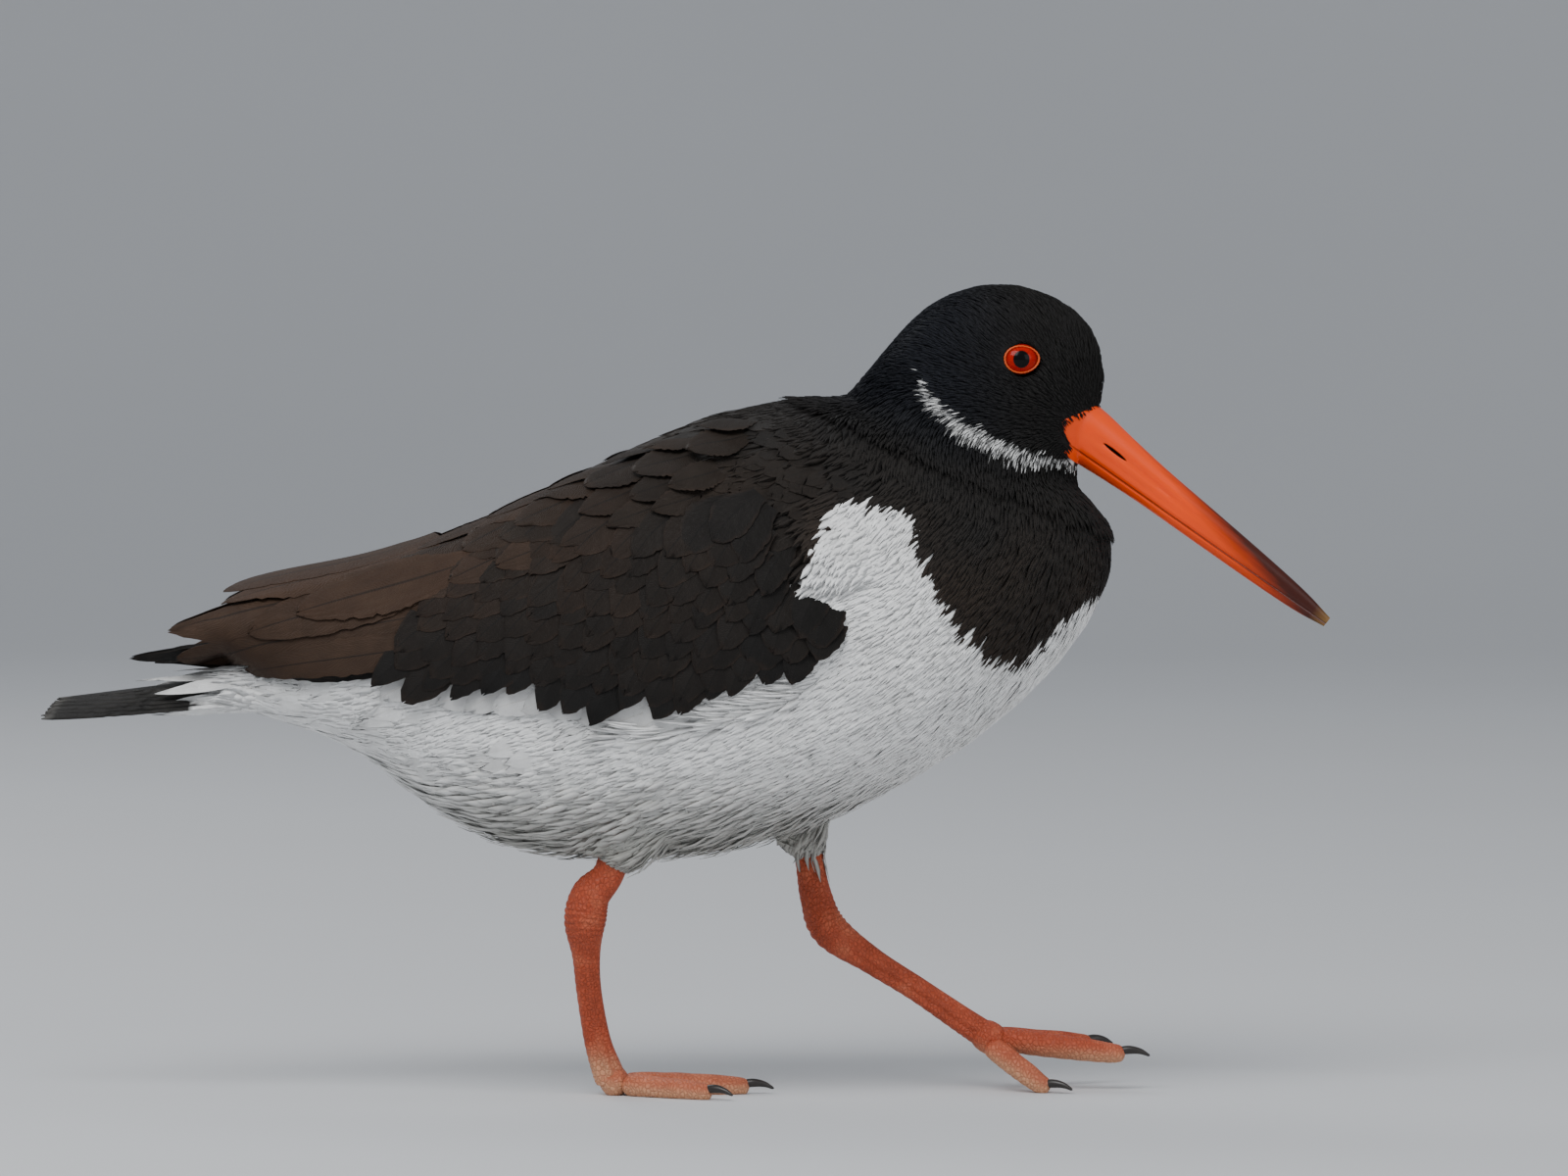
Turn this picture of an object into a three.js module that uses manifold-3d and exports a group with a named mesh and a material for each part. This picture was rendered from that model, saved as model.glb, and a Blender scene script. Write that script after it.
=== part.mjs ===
// A life-size oystercatcher, still, in a slow walk: the right foot planted under the body and the left leg
// reaching forward with its inner toe just touching the ground.
// Millimetres, +Z up, the bird faces +X, its right side faces -Y. The origin is the planted foot's flat.
import * as THREE from "three";
import { mergeVertices } from "three/addons/utils/BufferGeometryUtils.js";
import Module from "manifold-3d";

const wasm = await Module();
wasm.setup();

// Driving sizes.
const GAP = 0.3; // what touching pieces keep between them
const BODY_REAR = -101;
const BODY_FRONT = 131.5;
const CROWN = 215.2;
const EYE = { x: 107.4, y: 13.7, z: 195.3, radius: 4.1 };
const LID = { inner: 4.75, outer: 5.3, from: 50, to: 66, wide: 1.05, high: 0.88 };
const BILL = { x: 125.3, z: 175.2, length: 80.5, slope: -38, gape: 5.0, tipDrop: 0.4 };
const LEG_SIDES = 10;
const VANE = 0.8; // thickness of a feather's vane
const TAIL_PAIRS = 6;
const TAIL_VANE = 0.5;
const KEEL_LEVEL = 113; // height that the wings' hull behind the body is centred on
const SHELL = 3.4; // thickness of the shell that carries the wing feathers
const SHAFT_RIDGE = 0.25; // how far a feather's middle line stands up
const TIP_ROUND = 0.05; // how much shorter a vane is at its edges, as a share of its length
const RIDGE_FLAT = 4; // depth below the back's ridge where wing feathers start to lie level

// Outline of the body, read as height or half width over x.
const backLine = smooth([
  [-101, 112.5], [-85, 121], [-67, 132], [-33, 152.5], [3, 171.5], [29, 182], [45, 185], [63, 185],
  [84, 179], [99, 174], [112, 168.5], [121, 163], [128, 155.5], [131.5, 149],
]);
const bellyLine = smooth([
  [-101, 103.3], [-85, 98.3], [-67, 91.3], [-45, 75], [-25, 66.3], [3, 62.2], [45, 69.6], [84, 86.5],
  [99, 97], [112, 108.6], [121, 118.8], [128, 130], [131.5, 139],
]);
const bodyWidth = smooth([
  [-101, 9], [-85, 19], [-67, 27], [-33, 39], [3, 45.5], [24, 47], [63, 45], [84, 41.5],
  [99, 37], [112, 31], [121, 24.5], [128, 16], [131.5, 7],
]);
// Outline of neck and head, read as x or half width over height.
const napeLine = smooth([
  [138, 48], [166, 50], [176, 55], [187, 62.5], [195, 69], [203, 75.6], [209, 82], [213, 89], [215.2, 97],
]);
const faceLine = smooth([
  [138, 118], [155, 124], [166, 122.5], [176, 127], [187, 130], [195, 130], [203, 127], [209, 121.8],
  [213, 114.5], [215.2, 107],
]);
const neckWidth = smooth([
  [138, 35], [155, 31], [166, 27.5], [176, 23.3], [187, 20], [195, 18.6], [203, 17.2], [209, 14.6],
  [213, 10.4], [215.2, 4],
]);
// The hull that the folded wings lie on behind the body, over x.
const hullTop = smooth([
  [-132, 119.5], [-119, 125.5], [-98, 133], [-64, 142.5], [-33, 155], [-5, 169], [20, 177],
]);
const hullWidth = smooth([[-132, 5.5], [-119, 9.5], [-98, 19], [-64, 31], [-33, 41], [-5, 46], [20, 48]]);

// A smooth curve through [at, value] pairs.
function smooth(pairs) {
  const slope = pairs.map((p, i) => {
    const a = pairs[Math.max(0, i - 1)];
    const b = pairs[Math.min(pairs.length - 1, i + 1)];
    return (b[1] - a[1]) / (b[0] - a[0]);
  });
  return (at) => {
    const x = Math.min(Math.max(at, pairs[0][0]), pairs[pairs.length - 1][0]);
    const i = Math.max(0, Math.min(pairs.length - 2, pairs.findIndex((p) => p[0] >= x) - 1));
    const span = pairs[i + 1][0] - pairs[i][0];
    const t = (x - pairs[i][0]) / span;
    const lift = slope[i] * span * t * (1 - t) ** 2 - slope[i + 1] * span * t * t * (1 - t);
    return pairs[i][1] + (pairs[i + 1][1] - pairs[i][1]) * t * t * (3 - 2 * t) + lift;
  };
}

// A closed three.js geometry as a solid, turned right side out.
function solid(geometry) {
  const bare = geometry.index ? geometry.toNonIndexed() : geometry.clone();
  bare.deleteAttribute("normal");
  bare.deleteAttribute("uv");
  const merged = mergeVertices(bare, 1e-4);
  const v = merged.attributes.position.array;
  const faces = [];
  let volume = 0;
  const corner = (i) => new THREE.Vector3(v[3 * i], v[3 * i + 1], v[3 * i + 2]);
  for (let i = 0; i < merged.index.count; i += 3) {
    const [a, b, c] = [0, 1, 2].map((k) => merged.index.array[i + k]);
    if (a === b || b === c || a === c) continue;
    faces.push([a, b, c]);
    volume += corner(a).dot(corner(b).cross(corner(c)));
  }
  const triVerts = new Uint32Array(faces.flatMap(([a, b, c]) => (volume < 0 ? [a, c, b] : [a, b, c])));
  return new wasm.Manifold(new wasm.Mesh({ numProp: 3, vertProperties: v, triVerts }));
}

// A cylinder whose every point is placed by placeAt(t, angle, radius), with t from 0 to 1 along it.
function loft(rings, sides, placeAt) {
  const geometry = new THREE.CylinderGeometry(1, 1, 1, sides, rings);
  const points = geometry.attributes.position;
  for (let i = 0; i < points.count; i++) {
    const [x, y, z] = [points.getX(i), points.getY(i), points.getZ(i)];
    points.setXYZ(i, ...placeAt(0.5 - y, Math.atan2(x, z), Math.hypot(x, z)));
  }
  return solid(geometry);
}

const power = (value, exponent) => Math.sign(value) * Math.abs(value) ** exponent;
const ROUNDNESS = 2 / 2.2;

// The trunk from rump to breast.
function trunk(grow) {
  return loft(19, 26, (t, angle, radius) => {
    const x = BODY_REAR - grow + (BODY_FRONT - BODY_REAR + 2 * grow) * (0.5 - 0.5 * Math.cos(Math.PI * t));
    const [top, bottom] = [backLine(x) + grow, bellyLine(x) - grow];
    const middle = (top + bottom) / 2;
    const y = (bodyWidth(x) + grow) * power(Math.sin(angle), ROUNDNESS) * radius;
    return [x, y, middle + ((top - bottom) / 2) * power(Math.cos(angle), ROUNDNESS) * radius];
  });
}

// Neck and head as level slices, rounder behind and narrower towards the bill.
function neckAndHead(grow) {
  const [low, narrowing, pinch] = [138, 0.2, 0.34];
  return loft(12, 24, (t, angle, radius) => {
    const z = low + (CROWN + grow - low) * Math.sin((Math.PI / 2) * t) ** 1.1;
    const [back, front] = [napeLine(z) - grow, faceLine(z) + grow];
    const towardsBill = Math.cos(angle);
    const face = THREE.MathUtils.smoothstep(z, 158, 172);
    const egg = 1 - face * (narrowing * towardsBill + pinch * Math.max(0, towardsBill) ** 4);
    const y = (neckWidth(z) + grow) * Math.sin(angle) * egg * radius;
    return [(back + front) / 2 + ((front - back) / 2) * towardsBill * radius, y, z];
  });
}

// A thin or thick box lying at a place, turned about Y.
function block(size, place, turnY = 0) {
  const geometry = new THREE.BoxGeometry(...size);
  geometry.rotateY(THREE.MathUtils.degToRad(turnY));
  geometry.translate(...place);
  return solid(geometry);
}

function largest(shape) {
  return shape.decompose().sort((a, b) => b.volume() - a.volume())[0];
}

// A round-sectioned limb along a curve. Each knot is [x, y, z, radius, depth], depth being fore and aft.
const pathOf = (knots) => new THREE.CatmullRomCurve3(knots.map((k) => new THREE.Vector3(k[0], k[1], k[2])));
function limb(knots, grow = 0, rings = 12, sides = LEG_SIDES) {
  const path = pathOf(knots);
  const at = (t, column) => {
    const s = t * (knots.length - 1);
    const i = Math.min(knots.length - 2, Math.floor(s));
    const f = (s - i) * (s - i) * (3 - 2 * (s - i));
    return knots[i][column] * (1 - f) + knots[i + 1][column] * f + grow;
  };
  return loft(rings, sides, (t, angle, radius) => {
    const ahead = path.getTangent(t);
    const across = new THREE.Vector3(0, 1, 0).addScaledVector(ahead, -ahead.y).normalize();
    const fore = new THREE.Vector3().crossVectors(across, ahead);
    const place = path.getPoint(t).addScaledVector(ahead, grow * (t < 0.5 ? -1 : 1));
    place.addScaledVector(across, at(t, 3) * Math.sin(angle) * radius);
    return place.addScaledVector(fore, at(t, 4) * Math.cos(angle) * radius).toArray();
  });
}

// A thin closed plate over a grid: placeAt(row, column) gives [point, normal]. Both faces split alike.
function plate(rows, columns, placeAt, thickness) {
  const positions = [];
  const index = [];
  for (const side of [1, -1])
    for (let r = 0; r <= rows; r++)
      for (let c = 0; c <= columns; c++) {
        const [point, normal] = placeAt(r / rows, c / columns);
        positions.push(...point.clone().addScaledVector(normal, (side * thickness) / 2).toArray());
      }
  const upper = (r, c) => r * (columns + 1) + c;
  const lower = (r, c) => upper(r, c) + (rows + 1) * (columns + 1);
  const quad = (a, b, c, d) => index.push(a, b, c, a, c, d);
  for (let r = 0; r < rows; r++)
    for (let c = 0; c < columns; c++) {
      quad(upper(r, c), upper(r + 1, c), upper(r + 1, c + 1), upper(r, c + 1));
      const [a, b, e, d] = [lower(r, c), lower(r + 1, c), lower(r + 1, c + 1), lower(r, c + 1)];
      index.push(a, e, b, a, d, e);
    }
  for (let r = 0; r < rows; r++) {
    quad(upper(r + 1, 0), upper(r, 0), lower(r, 0), lower(r + 1, 0));
    quad(upper(r, columns), upper(r + 1, columns), lower(r + 1, columns), lower(r, columns));
  }
  for (let c = 0; c < columns; c++) {
    quad(upper(0, c), upper(0, c + 1), lower(0, c + 1), lower(0, c));
    quad(upper(rows, c + 1), upper(rows, c), lower(rows, c), lower(rows, c + 1));
  }
  const geometry = new THREE.BufferGeometry();
  geometry.setAttribute("position", new THREE.BufferAttribute(new Float32Array(positions), 3));
  geometry.setIndex(index);
  return solid(geometry);
}

// The surface that a folded wing lies on, as a place and its outward normal for a side view's x and z.
// Behind the body it is a hull of its own, about a level line at KEEL_LEVEL.
function wingSurface(x, z, lift, side) {
  const onBody = THREE.MathUtils.smoothstep(x, -30, 10);
  const top = THREE.MathUtils.lerp(hullTop(x), backLine(x) + 1, onBody);
  const width = THREE.MathUtils.lerp(hullWidth(x), bodyWidth(x) + 1, onBody);
  const keel = 2 * KEEL_LEVEL - hullTop(x) + 0.55 * Math.max(0, -60 - x);
  const bottom = THREE.MathUtils.lerp(keel, bellyLine(x), onBody);
  const middle = (top + Math.min(bottom, top - 12)) / 2;
  const half = top - middle;
  // What would reach over the ridge of the back is laid along it, in towards the middle.
  const ridge = top - RIDGE_FLAT;
  const over = Math.max(0, z - ridge);
  const share = Math.min(0.995, Math.abs(Math.min(z, ridge) - middle) / half);
  const atRidge = width * (1 - share ** 2.2) ** (1 / 2.2);
  const y = Math.max(0, atRidge - over);
  const height = Math.min(z, ridge) + RIDGE_FLAT * (1 - y / atRidge);
  const normal = new THREE.Vector3(
    0,
    (side / width) * (y / width) ** 1.2,
    (Math.sign(height - middle) / half) * share ** 1.2,
  ).normalize();
  return [new THREE.Vector3(x, side * y, height).addScaledVector(normal, lift), normal];
}

// One feather on the wing, sunk at its root and raised at its tip, by its tip and direction in the side view.
const VANE_WIDTHS = smooth([[0, 0.6], [0.3, 0.88], [0.65, 1], [0.88, 0.78], [1, 0.28]]);
function wingFeather(f, side) {
  const angle = THREE.MathUtils.degToRad(f.down);
  const [dx, dz] = [-Math.cos(angle), -Math.sin(angle)];
  return plate(f.rows ?? 4, f.columns ?? 2, (r, c) => {
    const out = 2 * c - 1;
    const across = out * (f.width / 2) * VANE_WIDTHS(r);
    const back = f.length * (1 - r + TIP_ROUND * Math.abs(out) * r);
    const droop = f.bend * (1 - r) * r;
    const x = f.tip[0] - dx * back + dz * (across + droop);
    const z = f.tip[1] - dz * back - dx * (across + droop);
    const ridge = c === 0.5 ? SHAFT_RIDGE : 0;
    const lift = f.sunk + (f.raised - f.sunk) * r + ridge + f.tilt * (across / f.width);
    return wingSurface(x, z, lift, side);
  }, VANE);
}

// Where the lowest row of wing coverts ends, over x in the side view.
const wingEdge = smooth([
  [-72, 111.2], [-56, 109], [-42, 106.8], [-28, 107.2], [-15, 105], [-2, 102.8], [11, 101.8],
  [24, 105], [37, 108.5], [50, 113], [63, 122],
]);
const wingCrest = smooth([
  [-78, 127], [-60, 134], [-40, 143], [-20, 151], [0, 158], [22, 160], [38, 155], [48, 145],
  [56, 135], [64, 129],
]);

// Rows of wing coverts, from the lowest to the shoulder: how far the tips stand above the edge, and how
// steeply the feathers hang at the front and the rear of the row.
const COVERT_ROWS = [
  { above: 0, count: 9, from: -60, to: 58, length: 26, width: 17, downFront: 66, downRear: 32 },
  { above: 13, count: 8, from: -46, to: 52, length: 23, width: 16.5, downFront: 62, downRear: 32 },
  { above: 26, count: 7, from: -32, to: 42, length: 21, width: 16, downFront: 56, downRear: 32 },
];
const TERTIALS = [
  { tip: [-116, 117.8], length: 76, width: 10.5, down: 10, bend: -3 },
  { tip: [-118.5, 123.6], length: 80, width: 12, down: 14, bend: -3 },
  { tip: [-95, 126.5], length: 58, width: 12, down: 17, bend: -2 },
  { tip: [-77, 131.5], length: 50, width: 12, down: 20, bend: -2 },
  { tip: [-60, 137.5], length: 42, width: 12, down: 22, bend: -1 },
  { tip: [-104, 134], length: 62, width: 16, down: 18, bend: -1 },
];
const PRIMARIES = [
  { tip: [-129, 116], length: 84, width: 6.5, down: 3, bend: -1 },
  { tip: [-121, 114.4], length: 74, width: 6.5, down: 3, bend: -1 },
  { tip: [-111, 113.4], length: 62, width: 6.5, down: 3, bend: 0 },
];

// A folded wing: a shell over the flank that carries coverts, tertials and the primaries' tips.
function wing(side, bodyCut) {
  const shell = plate(9, 4, (r, c) => {
    const x = -74 + 137 * r;
    const low = wingEdge(x) + 6;
    return wingSurface(x, low + (Math.max(wingCrest(x), low + 8) - low) * c, 0.8, side);
  }, SHELL);
  let shape = shell;
  for (const row of COVERT_ROWS)
    for (let i = 0; i < row.count; i++) {
      const share = i / (row.count - 1);
      const x = row.from + (row.to - row.from) * share;
      shape = shape.add(wingFeather({
        tip: [x, wingEdge(x) + row.above + 1.2 * Math.sin(i * 2.3 + row.above)],
        length: row.length * (1 - 0.3 * share ** 2),
        width: row.width,
        bend: 1.5,
        down: row.downRear + (row.downFront - row.downRear) * share,
        sunk: 0.4,
        raised: 3.2 + 0.3 * Math.sin(i * 1.7),
        tilt: -1.8,
        rows: 3,
        columns: 1,
      }, side));
    }
  TERTIALS.forEach((f, i) => {
    const [sunk, raised] = [0.2 + 0.3 * i, 1.1 + 0.7 * i];
    shape = shape.add(wingFeather({ ...f, sunk, raised, tilt: 0.4, rows: 5 }, side));
  });
  PRIMARIES.forEach((f, i) => {
    shape = shape.add(wingFeather({ ...f, sunk: -0.2, raised: -0.6 - 0.5 * i, tilt: 0.2 }, side));
  });
  const otherHalf = block([400, 100, 300], [0, side * (-50 + GAP / 2), 100]);
  return largest(shape.subtract(bodyCut).subtract(otherHalf));
}

// The tail: pairs of feathers fanned from one root, the middle pair on top and longest.
function tail(bodyCut) {
  const [root, tip, spread, halfWidth] = [[-86, 113.2], [-153, 105.4], 13.5, 6];
  let shape = null;
  for (let i = 0; i < TAIL_PAIRS; i++)
    for (const side of [-1, 1]) {
      const far = (i + (side < 0 ? 0.2 : 0.6)) / TAIL_PAIRS;
      const feather = plate(4, 2, (r, c) => {
        const out = 2 * c - 1;
        const x = root[0] + (tip[0] + 5 * far - root[0]) * r + 1.5 * Math.abs(out) * r;
        const y = side * far * (3 + (spread - 3) * r) + out * halfWidth * VANE_WIDTHS(r);
        const drop = far * (7.5 - 3.5 * r) + 0.004 * y * y;
        const z = root[1] + (tip[1] - root[1]) * r - drop + (c === 0.5 ? SHAFT_RIDGE : 0);
        return [new THREE.Vector3(x, y, z), new THREE.Vector3(0, 0.008 * y, 1).normalize()];
      }, TAIL_VANE);
      shape = shape ? shape.add(feather) : feather;
    }
  return largest(shape.subtract(bodyCut));
}

// The bill's own frame: s runs along it from its base, up is across it towards the culmen.
const slope = THREE.MathUtils.degToRad(BILL.slope);
const billPoint = (s, up, y = 0) => [
  BILL.x + s * Math.cos(slope) - up * Math.sin(slope),
  y,
  BILL.z + s * Math.sin(slope) + up * Math.cos(slope),
];
const billHeight = smooth([
  [-14, 16], [0, 15.6], [10, 13.6], [22, 11.6], [40, 9.8], [60, 7.6], [72, 5.6], [80.5, 2.8],
]);
const billWidth = smooth([
  [-14, 14], [0, 12], [10, 9.4], [22, 7.6], [40, 6], [60, 4.4], [72, 3.1], [80.5, 1.7],
]);

function bill(headCut) {
  const whole = loft(16, 16, (t, angle, radius) => {
    const s = -14 + (BILL.length + 14) * t;
    const y = (billWidth(s) / 2) * Math.sin(angle) * radius;
    return billPoint(s, (billHeight(s) / 2) * power(Math.cos(angle), 0.85) * radius, y);
  });
  // The mouth: a thin cut from the gape to the tip.
  const [gape, end] = [billPoint(-6, -BILL.gape), billPoint(BILL.length + 4, -BILL.tipDrop)];
  const middle = [(gape[0] + end[0]) / 2, 0, (gape[2] + end[2]) / 2];
  const turn = THREE.MathUtils.radToDeg(Math.atan2(gape[2] - end[2], end[0] - gape[0]));
  const long = Math.hypot(end[0] - gape[0], end[2] - gape[2]) + 30;
  const mouth = block([long, 40, GAP], middle, turn);
  let shape = whole.subtract(headCut).subtract(mouth);
  // A slit of a nostril on each side.
  for (const side of [-1, 1])
    shape = shape.subtract(block([8.5, 3, 1.1], billPoint(8, 1.6, side * 5.4), -BILL.slope));
  const halves = shape.decompose().sort((a, b) => b.volume() - a.volume()).slice(0, 2);
  const height = (part) => part.boundingBox().max[2];
  return halves.sort((a, b) => height(b) - height(a));
}

// A ring round an eye's outward axis, between two radii and two angles from that axis.
function lidRing(inner, outer, from, to, side) {
  const at = (radius, degrees) => {
    const a = THREE.MathUtils.degToRad(degrees);
    return new THREE.Vector2(radius * Math.sin(a), radius * Math.cos(a));
  };
  const angles = [from, (from + to) / 2, to];
  const profile = angles.map((a) => at(inner, a)).concat(angles.reverse().map((a) => at(outer, a)));
  profile.push(profile[0].clone());
  const geometry = new THREE.LatheGeometry(profile, 14);
  if (side < 0) geometry.rotateX(Math.PI);
  geometry.scale(LID.wide, 1, LID.high);
  geometry.translate(EYE.x, side * EYE.y, EYE.z);
  return solid(geometry);
}

function eyeball(radius, side) {
  const geometry = new THREE.SphereGeometry(radius, 14, 9);
  geometry.translate(EYE.x, side * EYE.y, EYE.z);
  return solid(geometry);
}

// Legs. Knots run from the body down to the foot, and each toe from the foot out to its tip.
const LEGS = {
  right: {
    thigh: [[5, -20, 78, 11, 13.5], [2, -19, 66.5, 7.4, 9.2], [-1.6, -18, 59.5, 4.4, 5.1]],
    leg: [
      [1.5, -18.5, 70, 3.8, 4.4], [-1.6, -18, 60, 3.4, 4.1], [-6.4, -17, 54, 3.9, 5.2],
      [-7.9, -15.8, 47, 4, 5.4], [-7.6, -13, 38, 3, 3.7], [-6.9, -9.5, 28, 2.6, 3.3],
      [-4.8, -5, 15, 2.9, 3.5], [-1.8, -2.4, 6.4, 3.6, 4.2],
    ],
    splits: [0.14, 0.43, 0.93],
    foot: [[-4.4, -1.5, 3.3, 3.2, 2.9], [-0.8, -1.5, 3.5, 4.8, 4.4], [3.6, -1.3, 3.1, 4.6, 3.8]],
    toes: {
      inner: [
        [2, 0.4, 2.8, 2.9, 2.9], [11, 5.2, 2.5, 2.9, 2.9], [21, 10.4, 2.1, 2.4, 2.5],
        [24.5, 12, 1.7, 1.4, 1.7],
      ],
      middle: [
        [3, -1.3, 3, 3.2, 3.1], [16, -0.6, 2.6, 3.1, 3.1], [31, 0.4, 2.2, 2.6, 2.6],
        [35.5, 0.7, 1.7, 1.5, 1.7],
      ],
      outer: [
        [2, -3.2, 2.8, 2.9, 2.9], [12, -9.6, 2.5, 2.9, 2.9], [22, -15.6, 2.1, 2.4, 2.5],
        [25.5, -17.6, 1.7, 1.4, 1.7],
      ],
    },
  },
  left: {
    thigh: [[44, 20, 84, 13, 15], [49, 19.5, 71, 7.4, 9], [52.2, 19, 59.5, 4.4, 5]],
    leg: [
      [50, 19.4, 74, 3.6, 4.2], [51.6, 19, 61, 3.2, 3.8], [53.4, 18.4, 51, 3.3, 4.3],
      [57, 17.6, 42.5, 3.9, 4.9], [68, 16.6, 34.5, 3.1, 3.6], [80, 15.4, 27, 2.6, 3.3],
      [91, 14.4, 19.6, 2.8, 3.5], [99, 13.8, 14.4, 3.4, 3.8],
    ],
    splits: [0.14, 0.43, 0.93],
    foot: [[94.6, 14.2, 17.4, 3.2, 3.3], [99.2, 13.8, 14.2, 4, 4.4], [103.6, 13.4, 11.8, 3.8, 3.8]],
    toes: {
      inner: [
        [99, 11.4, 12.6, 2.8, 2.8], [106, 7.6, 7.4, 2.9, 3], [112.6, 4.8, 2.6, 2.5, 2.6],
        [115.4, 3.6, 1.3, 1.5, 1.7],
      ],
      middle: [
        [101, 13.8, 13.8, 3, 3.1], [115, 13.8, 12, 3, 3.2], [131, 13.8, 10, 2.6, 2.7],
        [135.8, 13.8, 9.4, 1.5, 1.7],
      ],
      outer: [
        [100, 16, 14, 2.8, 2.9], [112, 21.6, 12.6, 2.8, 3], [123.5, 27, 11.6, 2.4, 2.5],
        [127, 28.6, 11.2, 1.4, 1.6],
      ],
    },
  },
};

// A short curved claw beyond a toe's last knot.
function claw(toe) {
  const [before, last] = toe.slice(-2).map((k) => new THREE.Vector3(k[0], k[1], k[2]));
  const ahead = last.clone().sub(before).setZ(0).normalize();
  const at = (forward, up, radius) => {
    const place = last.clone().addScaledVector(ahead, forward);
    return [place.x, place.y, place.z + up, radius, radius];
  };
  return limb([at(-2.5, 0.9, 1.1), at(1, 1.3, 1.15), at(4, 0.9, 0.8), at(6.6, -0.3, 0.3)], 0, 4, 6);
}

// All that lies above or below a square cut across a leg, at a share of its length.
function pastCut(knots, share, above) {
  const path = pathOf(knots);
  const up = path.getTangent(share).negate();
  const size = 80;
  const geometry = new THREE.BoxGeometry(size, size, size);
  geometry.translate(0, 0, (above ? 1 : -1) * (size - GAP) / 2);
  geometry.applyQuaternion(new THREE.Quaternion().setFromUnitVectors(new THREE.Vector3(0, 0, 1), up));
  geometry.translate(...path.getPoint(share).toArray());
  return solid(geometry);
}

function leg(name, bodyCut) {
  const plan = LEGS[name];
  const [featherEdge, ankle, heel] = plan.splits;
  const floor = block([600, 300, 60], [0, 0, -30]);
  const whole = limb(plan.leg, 0, 18);
  const between = (from, to) =>
    largest(whole.subtract(pastCut(plan.leg, from, true)).subtract(pastCut(plan.leg, to, false)));
  const parts = {};
  const feathered = limb(plan.thigh, 0, 7).subtract(bodyCut);
  parts["thigh_" + name] = largest(feathered.subtract(pastCut(plan.leg, featherEdge, false)));
  parts["tibia_" + name] = between(featherEdge, ankle);
  parts["tarsus_" + name] = between(ankle, heel);
  const foot = limb(plan.foot, 0, 6).add(whole.subtract(pastCut(plan.leg, heel - 0.02, true)));
  parts["foot_" + name] = largest(foot.subtract(pastCut(plan.leg, heel, true)).subtract(floor));
  let taken = limb(plan.foot, GAP, 6).add(limb(plan.leg, GAP, 18));
  for (const [toeName, knots] of Object.entries(plan.toes)) {
    const grown = limb(knots, GAP, 7, 8);
    parts[`toe_${toeName}_${name}`] = largest(limb(knots, 0, 7, 8).subtract(taken).subtract(floor));
    parts[`claw_${toeName}_${name}`] = largest(claw(knots).subtract(grown).subtract(floor));
    taken = taken.add(grown);
  }
  return parts;
}

// The whole bird, cut into its parts.
const bodyGrown = trunk(GAP).add(neckAndHead(GAP));
const headGrown = neckAndHead(GAP);
let flesh = trunk(0).add(neckAndHead(0));
for (const side of [-1, 1]) {
  flesh = flesh.subtract(eyeball(EYE.radius + GAP, side));
  flesh = flesh.subtract(lidRing(LID.inner - GAP, LID.outer + GAP, LID.from - 4, LID.to + 4, side));
}
const headCut = block([150, 120, GAP], [96, 0, 180.2], 26);
const neckCut = block([120, 120, GAP], [96, 0, 165.4], 22);
const rumpCut = block([GAP, 120, 120], [-62, 0, 110]);
const divided = [headCut, neckCut, rumpCut].reduce((shape, cut) => shape.subtract(cut), flesh);
const pieces = divided.decompose().sort((a, b) => b.volume() - a.volume()).slice(0, 4);
pieces.sort((a, b) => a.boundingBox().max[2] - b.boundingBox().max[2]);
const [rump, ...rest] = pieces;
const parts = { rump };
rest.sort((a, b) => b.volume() - a.volume());
[parts.torso, parts.head, parts.neck] = rest;
const [upper, lower] = bill(headGrown);
parts.upper_mandible = upper;
parts.lower_mandible = lower;
for (const [name, side] of [["right", -1], ["left", 1]]) {
  parts["eye_" + name] = eyeball(EYE.radius, side);
  parts["eyelid_" + name] = lidRing(LID.inner, LID.outer, LID.from, LID.to, side);
  parts["wing_" + name] = wing(side, bodyGrown);
  Object.assign(parts, leg(name, bodyGrown));
}
parts.tail = tail(bodyGrown);

// The look of each kind of part: colour, roughness and how metallic it is.
const FINISHES = [
  [/^(head|neck)$/, 0x191716, 0.8],
  [/^torso$/, 0xb9b8b2, 0.85],
  [/^(rump|thigh)/, 0xdedcd6, 0.85],
  [/^wing/, 0x2c211c, 0.75],
  [/^tail$/, 0x2a2624, 0.75],
  [/mandible$/, 0xe2561c, 0.35],
  [/^(tibia|tarsus|foot)/, 0xa5482c, 0.55],
  [/^toe/, 0xb0613f, 0.55],
  [/^claw/, 0x1d1917, 0.4],
  [/^eye_/, 0x8a1108, 0.08],
  [/^eyelid/, 0xd9601f, 0.5],
];

const bird = new THREE.Group();
for (const [name, shape] of Object.entries(parts)) {
  const mesh = shape.getMesh();
  const geometry = new THREE.BufferGeometry();
  geometry.setAttribute("position", new THREE.BufferAttribute(mesh.vertProperties, 3));
  geometry.setIndex(new THREE.BufferAttribute(mesh.triVerts, 1));
  const [, color, roughness] = FINISHES.find(([pattern]) => pattern.test(name));
  const node = new THREE.Mesh(geometry, new THREE.MeshStandardMaterial({ color, roughness, metalness: 0 }));
  node.name = name;
  bird.add(node);
}

export default bird;
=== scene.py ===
"""A life-size oystercatcher in a slow walk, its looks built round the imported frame."""
import itertools
import math
from functools import lru_cache

import bmesh
import bpy
import numpy as np
from bpy.props import FloatProperty, FloatVectorProperty, IntProperty, PointerProperty
from mathutils import Matrix, Vector, noise
from mathutils.bvhtree import BVHTree


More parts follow.
